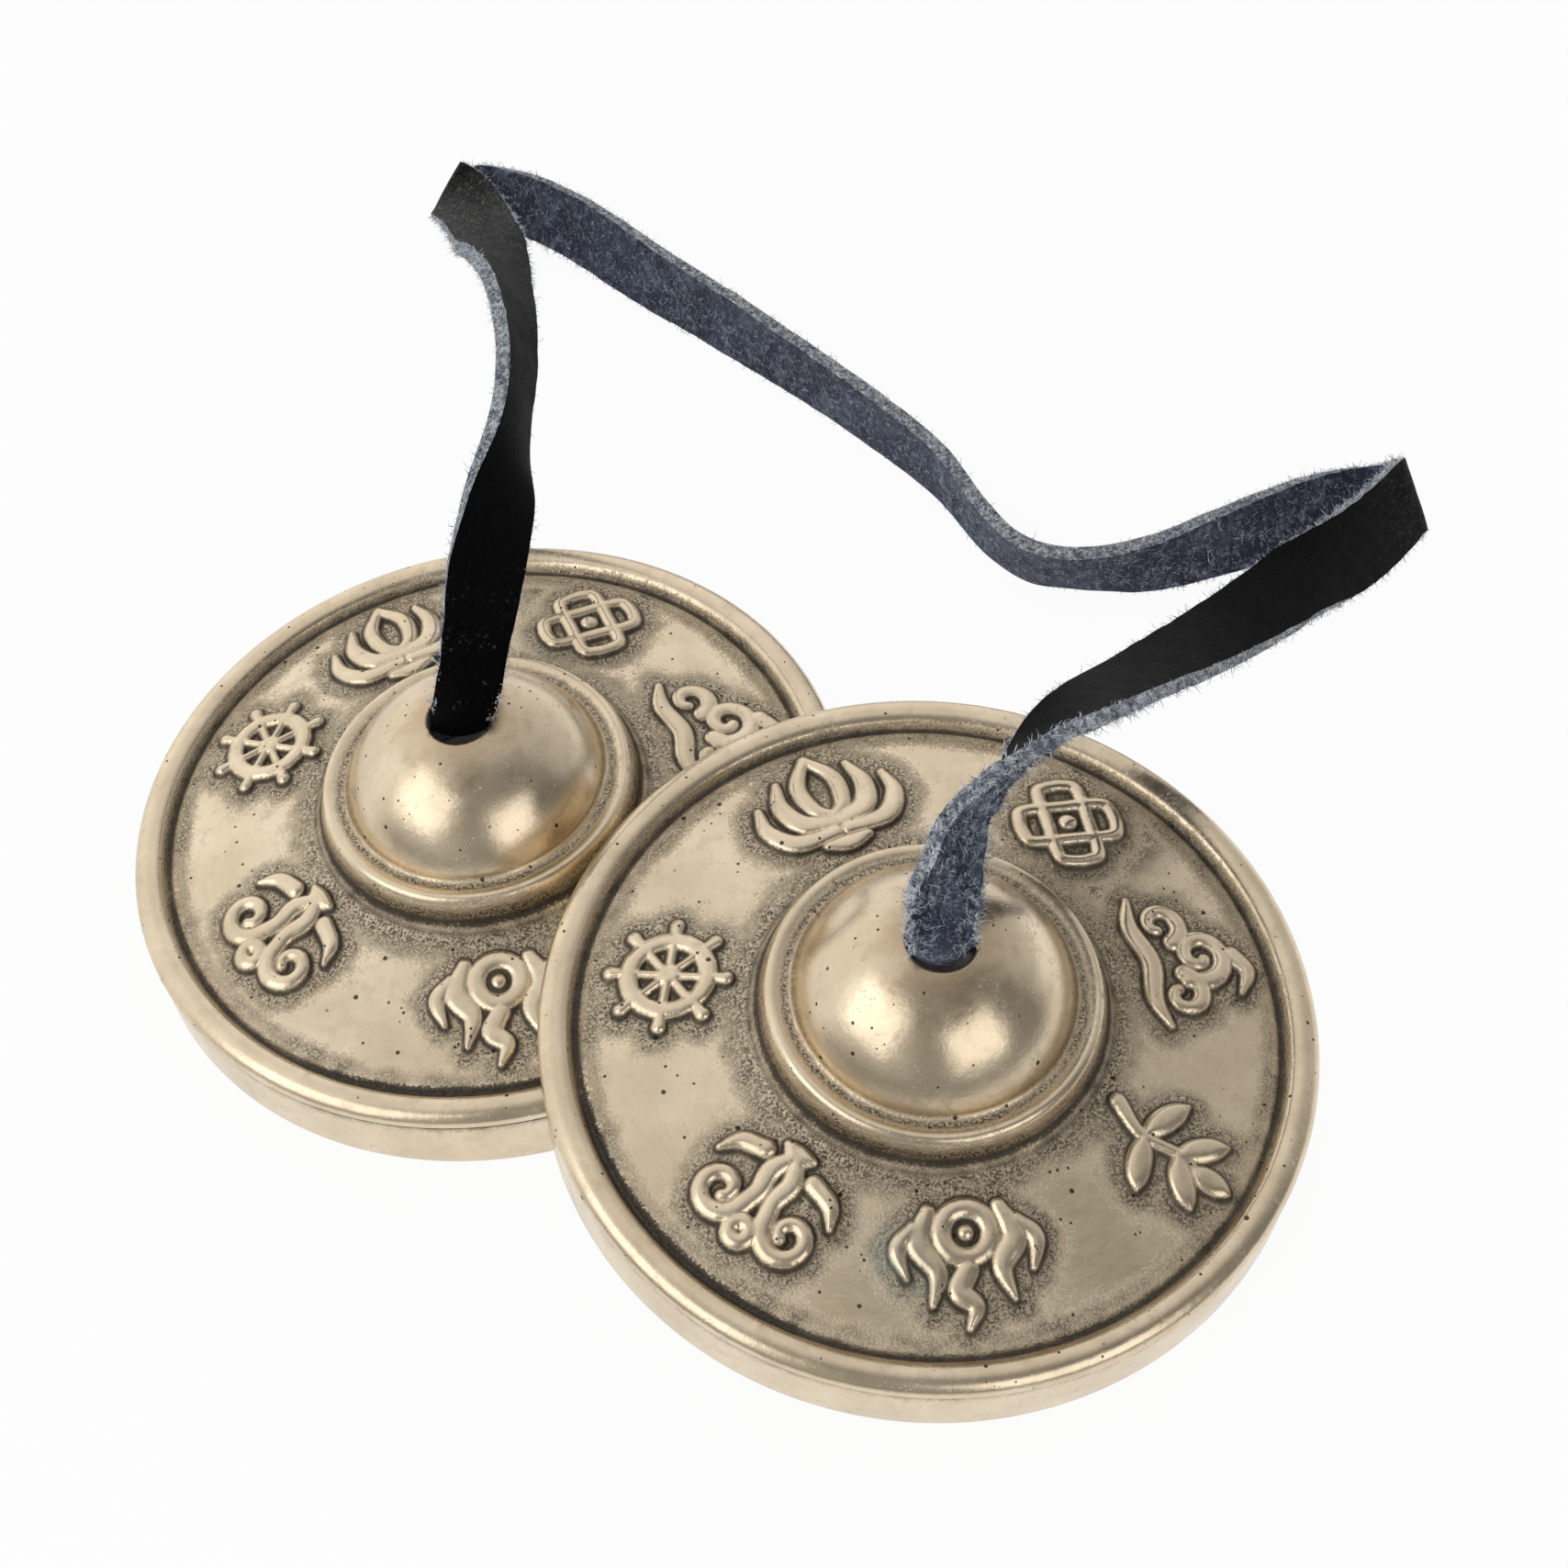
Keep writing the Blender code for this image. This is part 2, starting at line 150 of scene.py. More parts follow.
def even_spacing(line, spacing):
    """Rows along a line, evenly this far apart as the first three columns measure it."""
    reach = np.linalg.norm(np.diff(line[:, :3], axis=0), axis=1)
    travelled = np.concatenate([[0], np.cumsum(reach)])
    count = int(travelled[-1] / spacing)
    wanted = np.linspace(0, travelled[-1], count + 1)
    return np.column_stack([np.interp(wanted, travelled, line[:, i]) for i in range(line.shape[1])])


thong_line = smooth_line(thong_route, 12)
thong_line[:, :3] /= 1000
thong_line[:, 6] /= 1000
thong_line = even_spacing(thong_line, row_spacing)
thong_middle = thong_line[:, :3]
thong_across = thong_line[:, 3:6] / np.linalg.norm(thong_line[:, 3:6], axis=1)[:, None]
thong_ahead = np.gradient(thong_middle, axis=0)
thong_ahead /= np.linalg.norm(thong_ahead, axis=1)[:, None]
thong_face = np.cross(thong_ahead, thong_across)
thong_face /= np.linalg.norm(thong_face, axis=1)[:, None]
thong_rows = len(thong_middle)

# How sharply the strip turns at each place, as a share of its tightest turn
thong_bend = np.linalg.norm(np.gradient(thong_ahead, axis=0), axis=1)
thong_bend = np.convolve(thong_bend, np.hanning(15) / np.hanning(15).sum(), "same")
thong_bend = np.sqrt(np.clip(thong_bend / thong_bend.max(), 0, 1))

cut_draws = np.random.default_rng(11)


def wandering(count, stretch, draws):
    """A slow random wave of about unit height, one value a row."""
    wave = np.convolve(draws.normal(size=count + 4 * stretch), np.hanning(2 * stretch), "same")
    wave = wave[2 * stretch : 2 * stretch + count]
    return wave / np.abs(wave).max()


# Each cut edge wanders in a long wave with a shorter one on it
long_wave, long_rows = 0.00014, 22
short_wave, short_rows = 0.00011, 4
cut_wave = [
    long_wave * wandering(thong_rows, long_rows, cut_draws)
    + short_wave * wandering(thong_rows, short_rows, cut_draws)
    for _ in (0, 1)
]
fade_rows = 12
cup_depth = 0.00012
hole_curl = 0.0012
left_curl_rows, right_curl_rows = 16, 18
strip = bmesh.new()
bmesh.ops.create_grid(
    strip, x_segments=thong_columns, y_segments=thong_rows - 1, size=0.5, calc_uvs=True
)
uv = strip.loops.layers.uv.verify()
spot = {}
for vert in strip.verts:
    row = round((vert.co.y + 0.5) * (thong_rows - 1))
    share = 2 * vert.co.x
    spot[vert.index] = (row, share)
for vert in strip.verts:
    row, share = spot[vert.index]
    half = thong_line[row, 6] / 2
    wave = cut_wave[0][row] if share > 0 else cut_wave[1][row]
    rows_left = thong_rows - 1 - row
    fade = min(row, rows_left, fade_rows) / fade_rows
    side = thong_across[row] * share * (half + wave * fade * abs(share))
    # The strip is a little cupped to the flesh side, and curls round the front of either hole
    curled = hole_curl * max(0.0, 1 - row / left_curl_rows)
    curled -= hole_curl * max(0.0, 1 - rows_left / right_curl_rows)
    cup = thong_face[row] * (cup_depth * fade + curled) * (share * share - 0.4)
    vert.co = Vector(thong_middle[row] + side + cup)
for face in strip.faces:
    for loop in face.loops:
        row, share = spot[loop.vert.index]
        loop[uv].uv = (row * row_spacing * 100, share * thong_width / 2 * 100)
thong_mesh = bpy.data.meshes.new("thong")
strip.to_mesh(thong_mesh)
strip.free()
fold_row = int(np.argmax(thong_middle[:, 1]))
turn_row = int(np.argmax(thong_middle[:, 0]))


def hump(middle, reach):
    """A value for each row of the strip, 1 at the middle row and falling off smoothly."""
    return np.exp(-(((np.arange(thong_rows) - middle) / reach) ** 2))


def mark_rows(label, by_row):
    """Keeps a value of each row on the strip, for its material to read."""
    mark = thong_mesh.attributes.new(label, "FLOAT", "POINT")
    mark.data.foreach_set("value", [float(by_row[spot[i][0]]) for i in range(len(thong_mesh.vertices))])


# Scuffs lie at the left hole and about halfway to the fold, and painted highlights along creases lie
# before the fold and at the turn
mark_rows("scuffed", hump(0, 22) + 0.8 * hump(112, 14))
mark_rows("crease_sheen", hump(fold_row - 34, 46) + 0.45 * hump(turn_row, 20))
mark_rows("bend", thong_bend)


def new_material(name):
    made = bpy.data.materials.new(name)
    made.use_nodes = True
    return made


class Nodes:
    """Puts nodes in a tree and links them: each call gives one output of the new node."""

    def __init__(self, tree):
        self.tree = tree

    def add(self, kind, inputs=(), out=0, **settings):
        node = self.tree.nodes.new("ShaderNode" + kind)
        for key, value in settings.items():
            setattr(node, key, value)
        for key, value in dict(inputs).items():
            self.put(value, node.inputs[key])
        return node.outputs[out]

    def put(self, value, socket):
        if isinstance(value, bpy.types.NodeSocket):
            self.tree.links.new(value, socket)
        elif isinstance(value, (tuple, list)) and len(value) == 3 and socket.type == "RGBA":
            socket.default_value = (*value, 1)
        else:
            socket.default_value = value

    def math(self, operation, *values, clamp=False):
        return self.add("Math", dict(enumerate(values)), operation=operation, use_clamp=clamp)

    def noise(self, vector, scale, detail=2.0, roughness=0.5, distortion=0.0):
        return self.add(
            "TexNoise",
            {
                "Vector": vector,
                "Scale": scale,
                "Detail": detail,
                "Roughness": roughness,
                "Distortion": distortion,
            },
        )

    def step(self, value, low, high, to_low=0.0, to_high=1.0):
        """The value's place between low and high, smoothed, from to_low to to_high."""
        return self.add(
            "MapRange",
            {"Value": value, 1: low, 2: high, 3: to_low, 4: to_high},
            interpolation_type="SMOOTHSTEP",
        )

    def mix(self, share, first, second):
        """Two colours mixed by a share."""
        return self.add("Mix", {0: share, 6: first, 7: second}, out=2, data_type="RGBA")

    def swing(self, value, share):
        """A noise value turned to a swing either way from nothing."""
        return self.math("MULTIPLY", self.math("SUBTRACT", value, 0.5), share)

    def mark(self, label, out=2):
        """An attribute of the mesh: its value, or its vector where out is 1."""
        return self.add("Attribute", out=out, attribute_name=label)

    def bump(self, height, strength, distance):
        return self.add("Bump", {"Height": height, "Strength": strength, "Distance": distance})

    def dress(self, looks):
        """Feeds the material's own shader, and gives the shader's output."""
        shader = self.tree.nodes["Principled BSDF"]
        for key, value in looks.items():
            self.put(value, shader.inputs[key])
        return shader.outputs[0]

    def scaled(self, vector, sizes):
        return self.add("VectorMath", {0: vector, 1: sizes}, operation="MULTIPLY")


def effect(name, inputs, outputs):
    """An empty node group with these sockets, and its node maker, its inputs and its output node."""
    tree = bpy.data.node_groups.new(name, "ShaderNodeTree")
    kinds = {"value": "NodeSocketFloat", "colour": "NodeSocketColor", "vector": "NodeSocketVector"}
    for label, kind in inputs:
        tree.interface.new_socket(label, in_out="INPUT", socket_type=kinds[kind])
    for label, kind in outputs:
        tree.interface.new_socket(label, in_out="OUTPUT", socket_type=kinds[kind])
    return tree, Nodes(tree), tree.nodes.new("NodeGroupInput"), tree.nodes.new("NodeGroupOutput")


def placed(nodes, tree, inputs):
    """A node that holds this group, with its inputs fed."""
    node = nodes.tree.nodes.new("ShaderNodeGroup")
    node.node_tree = tree
    for key, value in inputs.items():
        nodes.put(value, node.inputs[key])
    return node


# Fibres of cut hide, used on the flesh side, the cut edges and the tails of the knots
fibres, n, given, result = effect(
    "hide fibres", [("Place", "vector"), ("Length", "value")], [("Light", "value"), ("Height", "value")]
)
place = given.outputs["Place"]
sway = n.add("TexNoise", {"Vector": place, "Scale": 420.0, "Detail": 2.0}, out=1)
swayed = n.add(
    "VectorMath",
    {0: n.scaled(sway, (0.0030, 0.0030, 0.0030)), 1: place},
    operation="ADD",
)
strands = n.noise(n.scaled(swayed, (1.0, 2.6, 1.0)), 1250.0, 3.0, 0.7)
crossing = n.noise(n.scaled(swayed, (2.4, 1.0, 1.6)), 1050.0, 3.0, 0.65, 0.8)
patches = n.noise(place, 420.0, 4.0, 0.6)
both = n.math("MAXIMUM", strands, crossing)
light = n.math("ADD", n.step(both, 0.50, 0.74), n.swing(patches, 1.5))
n.put(n.math("MAXIMUM", light, 0.0, clamp=True), result.inputs["Light"])
n.put(n.math("MULTIPLY", both, given.outputs["Length"]), result.inputs["Height"])

# Grain side: black finish over fine pores, with creases across the strip where it turns sharply
grain = new_material("thong grain")
n = Nodes(grain.node_tree)
place = n.add("TexCoord", out=3)
flat = n.add("UVMap")
pores = n.add("TexVoronoi", {"Vector": place, "Scale": 2600.0}, feature="F1")
creases = n.noise(n.scaled(flat, (9.0, 34.0, 1.0)), 1.0, 5.0, 0.62, 1.6)
scuffs = n.noise(place, 900.0, 6.0, 0.7)
worn = n.step(scuffs, 0.58, 0.80)
black = n.mix(n.math("MULTIPLY", worn, 0.35), (0.0050, 0.0050, 0.0054), (0.022, 0.023, 0.026))
flecks = n.step(n.noise(place, 2600.0, 3.0, 0.75), 0.585, 0.66)
flecks = n.math("MULTIPLY", flecks, n.step(n.noise(place, 420.0, 3.0, 0.6), 0.48, 0.66))
flecks = n.math("MULTIPLY", flecks, n.mark("scuffed"))
black = n.mix(n.math("MULTIPLY", flecks, 0.75), black, (0.42, 0.46, 0.52))
# Pale lines along the creases where the strip bends: painted highlights on the wrinkles
crease_highlight = n.math("MULTIPLY", n.step(creases, 0.50, 0.62), n.mark("crease_sheen"))
black = n.mix(n.math("MULTIPLY", crease_highlight, 0.9, clamp=True), black, (0.140, 0.136, 0.128))
folds = n.math("MULTIPLY", creases, n.math("ADD", n.math("MULTIPLY", n.mark("bend"), 3.2), 0.45))
relief = n.math("ADD", n.math("MULTIPLY", n.step(pores, 0.0, 0.6), 0.10), folds)
n.dress(
    {
        "Base Color": black,
        "Roughness": n.math("ADD", n.math("MULTIPLY", n.noise(place, 500.0, 4.0), 0.24), 0.30),
        "Specular IOR Level": 0.024,
        "Normal": n.bump(relief, 1.0, 0.00080),
    }
)

# Flesh side: blue-grey suede
flesh = new_material("thong flesh")
n = Nodes(flesh.node_tree)
place = n.add("TexCoord", out=3)
nap = placed(n, fibres, {"Place": place, "Length": 1.0})
dark = n.mix(nap.outputs["Light"], (0.016, 0.019, 0.036), (0.230, 0.260, 0.330))
broad = n.noise(place, 110.0, 3.0)
tint = n.mix(n.step(broad, 0.35, 0.7, 0.0, 0.35), dark, (0.062, 0.074, 0.112))
n.dress(
    {
        "Base Color": tint,
        "Roughness": 0.95,
        "Specular IOR Level": 0.15,
        "Sheen Weight": 0.35,
        "Sheen Roughness": 0.45,
        "Sheen Tint": (0.75, 0.82, 1.0),
        "Normal": n.bump(nap.outputs["Height"], 0.9, 0.0004),
    }
)

# Cut edge: the pale core of the hide
cut_edge = new_material("thong cut edge")
n = Nodes(cut_edge.node_tree)
place = n.add("TexCoord", out=3)
nap = placed(n, fibres, {"Place": place, "Length": 1.0})
tufts = n.noise(place, 2300.0, 4.0, 0.7)
pale = n.mix(nap.outputs["Light"], (0.22, 0.245, 0.29), (0.86, 0.90, 0.92))
pale = n.mix(n.step(tufts, 0.44, 0.34), pale, (0.030, 0.035, 0.060))
pale = n.mix(n.step(tufts, 0.52, 0.62), pale, (0.90, 0.92, 0.93))
n.dress(
    {
        "Base Color": pale,
        "Roughness": 0.95,
        "Specular IOR Level": 0.15,
        "Normal": n.bump(tufts, 1.0, 0.0009),
    }
)

thong = add_piece("thong", thong_mesh, grain, flesh, cut_edge)
thong_mesh.shade_smooth()
leather = thong.modifiers.new("thickness of the hide", "SOLIDIFY")
leather.thickness = thong_thickness
leather.offset = 0
leather.material_offset = 1
leather.material_offset_rim = 2
corners = thong.modifiers.new("soft corners of the cut", "BEVEL")
corners.width = 0.00022
corners.segments = 2
corners.limit_method = "ANGLE"
corners.angle_limit = math.radians(60)
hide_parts("strap")
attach(thong, "strap")

# Loose fibres: the hide frays along its cut edges and over the flesh side, thickest at the right hole
# and longest near both holes.
fray_draws = random.Random(5)
table_gap = 0.00012
edge_hairs, edge_hair_reach, edge_hair_radius = 12000, 0.00080, 0.000032
flesh_hairs, flesh_hair_reach, flesh_hair_radius = 9000, 0.0008, 0.000026
longer_at_hole = 0.0005
edge_root_depth, flesh_root_depth, flesh_root_inset = 0.00005, 0.00003, 0.0001


def random_direction():
    return Vector([fray_draws.gauss(0, 1) for _ in range(3)]).normalized()


def fibre_material(name, dark, pale):
    made = new_material(name)
    n = Nodes(made.node_tree)
    place = n.add("TexCoord", out=3)
    tone = n.step(n.noise(place, 1400.0, 1.0), 0.35, 0.65)
    n.dress({"Base Color": n.mix(tone, dark, pale), "Roughness": 0.9, "Specular IOR Level": 0.2})
    return made


def fibre_piece(name, material, roots, radius):
    """Short hairs as thin curves, each from its root along its direction and then curling over."""
    hairs = bpy.data.curves.new(name, "CURVE")
    hairs.dimensions = "3D"
    hairs.bevel_depth = radius
    hairs.bevel_resolution = 0
    for root, ahead, curl, length in roots:
        reach = length * (0.35 + 0.9 * fray_draws.random() ** 1.6)
        hair = hairs.splines.new("POLY")
        hair.points.add(2)
        places = (
            root,
            root + (ahead * 0.52 + curl * 0.12) * reach,
            root + (ahead * 0.72 + curl * 0.52) * reach,
        )
        for point, co, size in zip(hair.points, places, (1.0, 0.9, 0.4)):
            point.co = (co[0], co[1], max(co[2], table_gap), 1)
            point.radius = size
    made = bpy.data.objects.new(name, hairs)
    hairs.materials.append(material)
    bpy.context.scene.collection.objects.link(made)
    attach(made, "strap")
    return made


def fuzzy_row():
    """A row of the strip, drawn more often where the hide is roughest, towards the right hole."""
    if fray_draws.random() < 0.24:
        return fray_draws.randrange(int(thong_rows * 0.90), thong_rows - 5)
    return fray_draws.randrange(5, thong_rows - 5)


def near_hole(row):
    """How near the row is to a hole: 1 at the right one and 0.7 at the left, 0 after 45 and 10 mm."""
    return max(0.0, 1 - (thong_rows - row) / 100, 0.7 - row / 32)


edge_roots = []
for _ in range(edge_hairs):
    row = fuzzy_row()
    sign = fray_draws.choice((-1, 1))
    side = Vector(thong_across[row]) * sign
    face = Vector(thong_face[row])
    level = fray_draws.uniform(-0.42, 0.5) * thong_thickness
    root = Vector(thong_middle[row]) + side * (thong_line[row, 6] / 2 - edge_root_depth) + face * level
    along = Vector(thong_ahead[row]) * fray_draws.gauss(0, 1)
    ahead = (side * 0.75 + along * 0.9 + face * fray_draws.gauss(0.15, 0.5)).normalized()
    length = edge_hair_reach + longer_at_hole * near_hole(row)
    edge_roots.append((root, ahead, random_direction(), length))
edge_fibre = fibre_material("edge fibre", (0.20, 0.23, 0.29), (0.86, 0.90, 0.94))
fibre_pieces = [fibre_piece("thong_edge_fibres", edge_fibre, edge_roots, edge_hair_radius)]
nap_roots = []
for _ in range(flesh_hairs):
    row = fuzzy_row()
    side = Vector(thong_across[row])
    face = Vector(thong_face[row])
    root = (
        Vector(thong_middle[row])
        + side * fray_draws.uniform(-1, 1) * (thong_line[row, 6] / 2 - flesh_root_inset)
        + face * (thong_thickness / 2 - flesh_root_depth)
    )
    lying = random_direction()
    lying = (lying - face * lying.dot(face)).normalized()
    ahead = (lying + face * fray_draws.uniform(0.1, 0.5)).normalized()
    length = flesh_hair_reach + longer_at_hole * near_hole(row)
    nap_roots.append((root, ahead, random_direction(), length))
nap_fibre = fibre_material("nap fibre", (0.035, 0.042, 0.075), (0.60, 0.67, 0.76))
fibre_pieces.append(fibre_piece("thong_flesh_fibres", nap_fibre, nap_roots, flesh_hair_radius))

# Knots: each end of the thong is tied in an overhand knot below its dome, drawn up round and tight,
# and its flat tail hangs inside the cymbal.
knot_path = [
    (0.0, 0.0, 0.0),
    (0.0, 0.0, -2.75),
    (-0.24, 0.04, -5.69),
    (-0.42, -0.06, -9.91),
    (2.59, -0.05, -12.08),
    (5.73, 0.39, -10.35),
    (5.42, 1.53, -6.27),
    (1.61, 3.22, -4.73),
    (-1.80, 2.99, -4.73),
    (-3.75, 0.28, -5.61),
    (-2.41, -2.71, -6.77),
    (0.60, -3.24, -7.67),
    (2.63, -1.17, -8.29),
    (2.49, 2.22, -9.34),
    (2.35, 3.85, -12.86),
    (2.61, 4.34, -15.77),
]
knot_spacing = 0.3
knot_line = smooth_line(knot_path, 14) / 1000
knot_line[0] = (0, 0, -0.00025)
knot_line = even_spacing(knot_line, knot_spacing / 1000)
knot_rows = len(knot_line)
knot_sides = 40
# Half sizes in mm of the flat strip and of the rolled one, and how far each end stays flat
flat_width, flat_thickness, rolled = 2.62, 0.78, 1.38
neck_flat, neck_fade = 2.4, 4.0
tail_flat, tail_fade = 0.4, 4.5
left_pivot = Vector((-0.0177358, 0.0163242, 0.02021))
right_pivot = Vector((0.019507, -0.017938, 0.024889))
tilt_axis = Vector((0.677047, 0.735940, 0.0))
lean = 0.15434555
lean_turn = Matrix.Rotation(lean, 4, tilt_axis)
left_yaw = Matrix.Rotation(math.atan2(0.31, 0.95), 4, "Z")

# The round strip of the knot shows its dark grain and, along one side, the closed cut edges
knot_leather = new_material("knot leather")
n = Nodes(knot_leather.node_tree)
place = n.add("TexCoord", out=3)
flat = n.add("UVMap")
lines = n.noise(n.scaled(flat, (9.0, 70.0, 1.0)), 1.0, 4.0, 0.6, 0.5)
cut = n.mark("cut")
nap = placed(n, fibres, {"Place": place, "Length": 1.0})
pale = n.mix(nap.outputs["Light"], (0.05, 0.06, 0.09), (0.26, 0.30, 0.37))
nap_height = n.math("MULTIPLY", nap.outputs["Height"], cut)
relief = n.math("ADD", lines, n.math("MULTIPLY", nap_height, 1.5))
n.dress(
    {
        "Base Color": n.mix(cut, (0.011, 0.011, 0.013), pale),
        "Roughness": n.step(cut, 0.0, 1.0, 0.42, 0.95),
        "Specular IOR Level": 0.42,
        "Normal": n.bump(relief, 0.7, 0.0003),
    }
)


def knot_piece(name, place, body, node):
    """A tube drawn along the knot's path: flat at the hole and tail, gathered round in the knot."""
    tube = bmesh.new()
    bmesh.ops.create_grid(tube, x_segments=knot_sides, y_segments=knot_rows - 1, size=0.5, calc_uvs=True)
    uv = tube.loops.layers.uv.verify()
    cut_mark = tube.verts.layers.float.new("cut")
    frames = []
    side = Vector((1, 0, 0))
    for row in range(knot_rows):
        ahead = Vector(knot_line[min(row + 1, knot_rows - 1)] - knot_line[max(row - 1, 0)]).normalized()
        side = (side - ahead * side.dot(ahead)).normalized()
        frames.append((side.copy(), ahead.cross(side)))
    spots = {}
    for vert in tube.verts:
        row = round((vert.co.y + 0.5) * (knot_rows - 1))
        corner = round((vert.co.x + 0.5) * knot_sides)
        spots[vert] = (row, corner)
    for vert, (row, corner) in spots.items():
        angle = math.tau * corner / knot_sides
        start = min(max((row * knot_spacing - neck_flat) / neck_fade, 0), 1)
        stop = min(max(((knot_rows - 1 - row) * knot_spacing - tail_flat) / tail_fade, 0), 1)
        gathered = min(start, stop)
        half = flat_width + (rolled - flat_width) * gathered
        thick = flat_thickness + (rolled - flat_thickness) * gathered
        square = 0.40 + 0.60 * gathered
        across = math.copysign(abs(math.cos(angle)) ** square, math.cos(angle))
        up = math.copysign(abs(math.sin(angle)) ** square, math.sin(angle))
        # Where the strip is rolled up, its two edges meet in a seam
        seam = math.exp(-(((corner / knot_sides + 0.5) % 1 - 0.5) * 16) ** 2) * gathered
        shrink = 1 - 0.13 * seam - 0.03 * gathered * math.sin(angle * 3 + row * 0.05)
        wide, tall = frames[row]
        reach = wide * (half * across * shrink) + tall * (thick * up * shrink)
        edge = max(0.0, abs(across) - 0.93) / 0.07 * (1 - gathered)
        vert[cut_mark] = min(1.0, edge + seam)
        vert.co = Vector(knot_line[row]) + reach / 1000
    for face in tube.faces:
        for loop in face.loops:
            row, corner = spots[loop.vert]
            loop[uv].uv = (row * 0.03, corner / knot_sides)
    bmesh.ops.remove_doubles(tube, verts=tube.verts[:], dist=1e-7)
    ends = [edge for edge in tube.edges if edge.is_boundary]
    bmesh.ops.holes_fill(tube, edges=ends)
    bmesh.ops.recalc_face_normals(tube, faces=tube.faces[:])
    bmesh.ops.transform(tube, matrix=place, verts=tube.verts[:])
    mesh = bpy.data.meshes.new(name)
    tube.to_mesh(mesh)
    tube.free()
    mesh.shade_smooth()
    made = add_piece(name, mesh, knot_leather)
    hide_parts(node)
    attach(made, body)
    return made


left_knot = knot_piece(
    "overhand_knot_left",
    Matrix.Translation(left_pivot) @ left_yaw,
    "knot_left",
    "strap_knot_left",
)
right_knot = knot_piece(
    "overhand_knot_right",
    Matrix.Translation(right_pivot) @ lean_turn,
    "knot_right",
    "strap_knot_right",
)


# Cymbals: two heavy discs cast in bell bronze, each with a hollow dome, a ring round the dome's foot,
# seven raised ornaments, a cut groove and a beaded rim, polished on what stands high. The outline
# below is one half of a casting's section in mm, from the hole out and back along the underside.
casting = [
    (2.75, 19.00),
    (2.75, 20.85),
    (2.81, 21.04),
    (2.96, 21.16),
]
dome_size, dome_middle = 12.24, 9.30
dome_reach = [3.15 + 8.45 * math.sin(math.pi / 2 * i / 27) ** 0.8 for i in range(28)]
casting += [(reach, dome_middle + math.sqrt(dome_size**2 - reach**2)) for reach in dome_reach]
casting += [
    (11.74, 13.00),
    (11.90, 12.86),
    (12.10, 12.80),
    (12.35, 12.83),
    (12.65, 12.93),
    (12.95, 13.05),
    (13.20, 13.12),
    (13.42, 13.12),
    (13.64, 13.03),
    (13.82, 12.84),
    (13.98, 12.54),
    (14.11, 12.15),
    (14.22, 11.70),
    (14.32, 11.25),
    (14.43, 10.84),
    (14.58, 10.46),
    (14.80, 10.12),
    (15.10, 9.84),
    (15.45, 9.62),
    (15.80, 9.48),
]
field_start, field_top, field_slope = 15.80, 9.48, 0.211
field_run, field_drop, field_steps = 12.6, 2.66, 28
casting += [
    (field_start + field_run * i / field_steps, field_top - field_drop * i / field_steps)
    for i in range(1, field_steps + 1)
]
casting += [
    (28.70, 6.74),
    (28.90, 6.68),
    (29.05, 6.56),
    (29.18, 6.42),
    (29.35, 6.36),
    (29.50, 6.44),
    (29.62, 6.62),
    (29.75, 6.86),
    (29.90, 7.10),
    (30.10, 7.29),
    (30.35, 7.42),
    (30.65, 7.49),
    (31.00, 7.50),
    (31.35, 7.46),
    (31.68, 7.34),
    (31.98, 7.16),
    (32.22, 6.92),
    (32.39, 6.66),
    (32.47, 6.40),
    (32.45, 6.16),
    (32.36, 5.98),
    (32.24, 5.86),
    (32.22, 5.74),
    (32.26, 5.60),
    (32.27, 4.60),
    (32.28, 3.20),
    (32.27, 1.80),
    (32.25, 0.50),
    (32.20, 0.26),
    (32.08, 0.08),
    (31.90, 0.00),
    (30.80, 0.00),
    (29.70, 0.00),
    (29.50, 0.08),
    (29.40, 0.25),
    (29.32, 1.90),
    (29.20, 3.60),
    (28.95, 4.05),
    (28.40, 4.30),
    (24.50, 5.11),
    (20.50, 5.94),
    (17.30, 6.48),
    (14.20, 7.00),
    (12.40, 7.80),
    (11.20, 8.30),
    (10.40, 9.00),
    (9.80, 9.70),
    (9.50, 10.40),
    (9.28, 12.60),
    (9.10, 14.73),
    (8.65, 15.60),
    (8.08, 16.25),
    (6.20, 17.80),
    (4.50, 18.80),
    (2.75, 19.00),
]
spin_steps = 300


def field_level(reach):
    """The height of the sloping field this far from the axis."""
    return field_top - field_slope * (reach - field_start)


def heading(degrees):
    """The two parts of a unit vector on a bearing in degrees."""
    return math.cos(math.radians(degrees)), math.sin(math.radians(degrees))


stroke_steps = 7


def brushed(points, widths):
    """One stroke of an ornament: a smooth line with its half width at each place, in mm."""
    rows = np.column_stack([np.asarray(points, float), np.asarray(widths, float)])
    return smooth_line(rows, stroke_steps)


def curl(x, y, size, start, stop, widths, shrink=0.0):
    """An arc or, where it shrinks, a spiral, from one angle to the other in degrees."""
    shares = np.linspace(0, 1, 22)
    angles = np.radians(start + (stop - start) * shares)
    reach = size * (1 - shrink * shares)
    half = widths[0] + (widths[1] - widths[0]) * shares
    return np.column_stack([x + reach * np.cos(angles), y + reach * np.sin(angles), half])


def ring(x, y, size, half):
    return curl(x, y, size, 0, 360, (half, half))


def both_sides(*strokes):
    """The strokes and their mirror image across the ornament's middle."""
    return [*strokes, *(stroke * np.array([-1, 1, 1]) for stroke in strokes)]


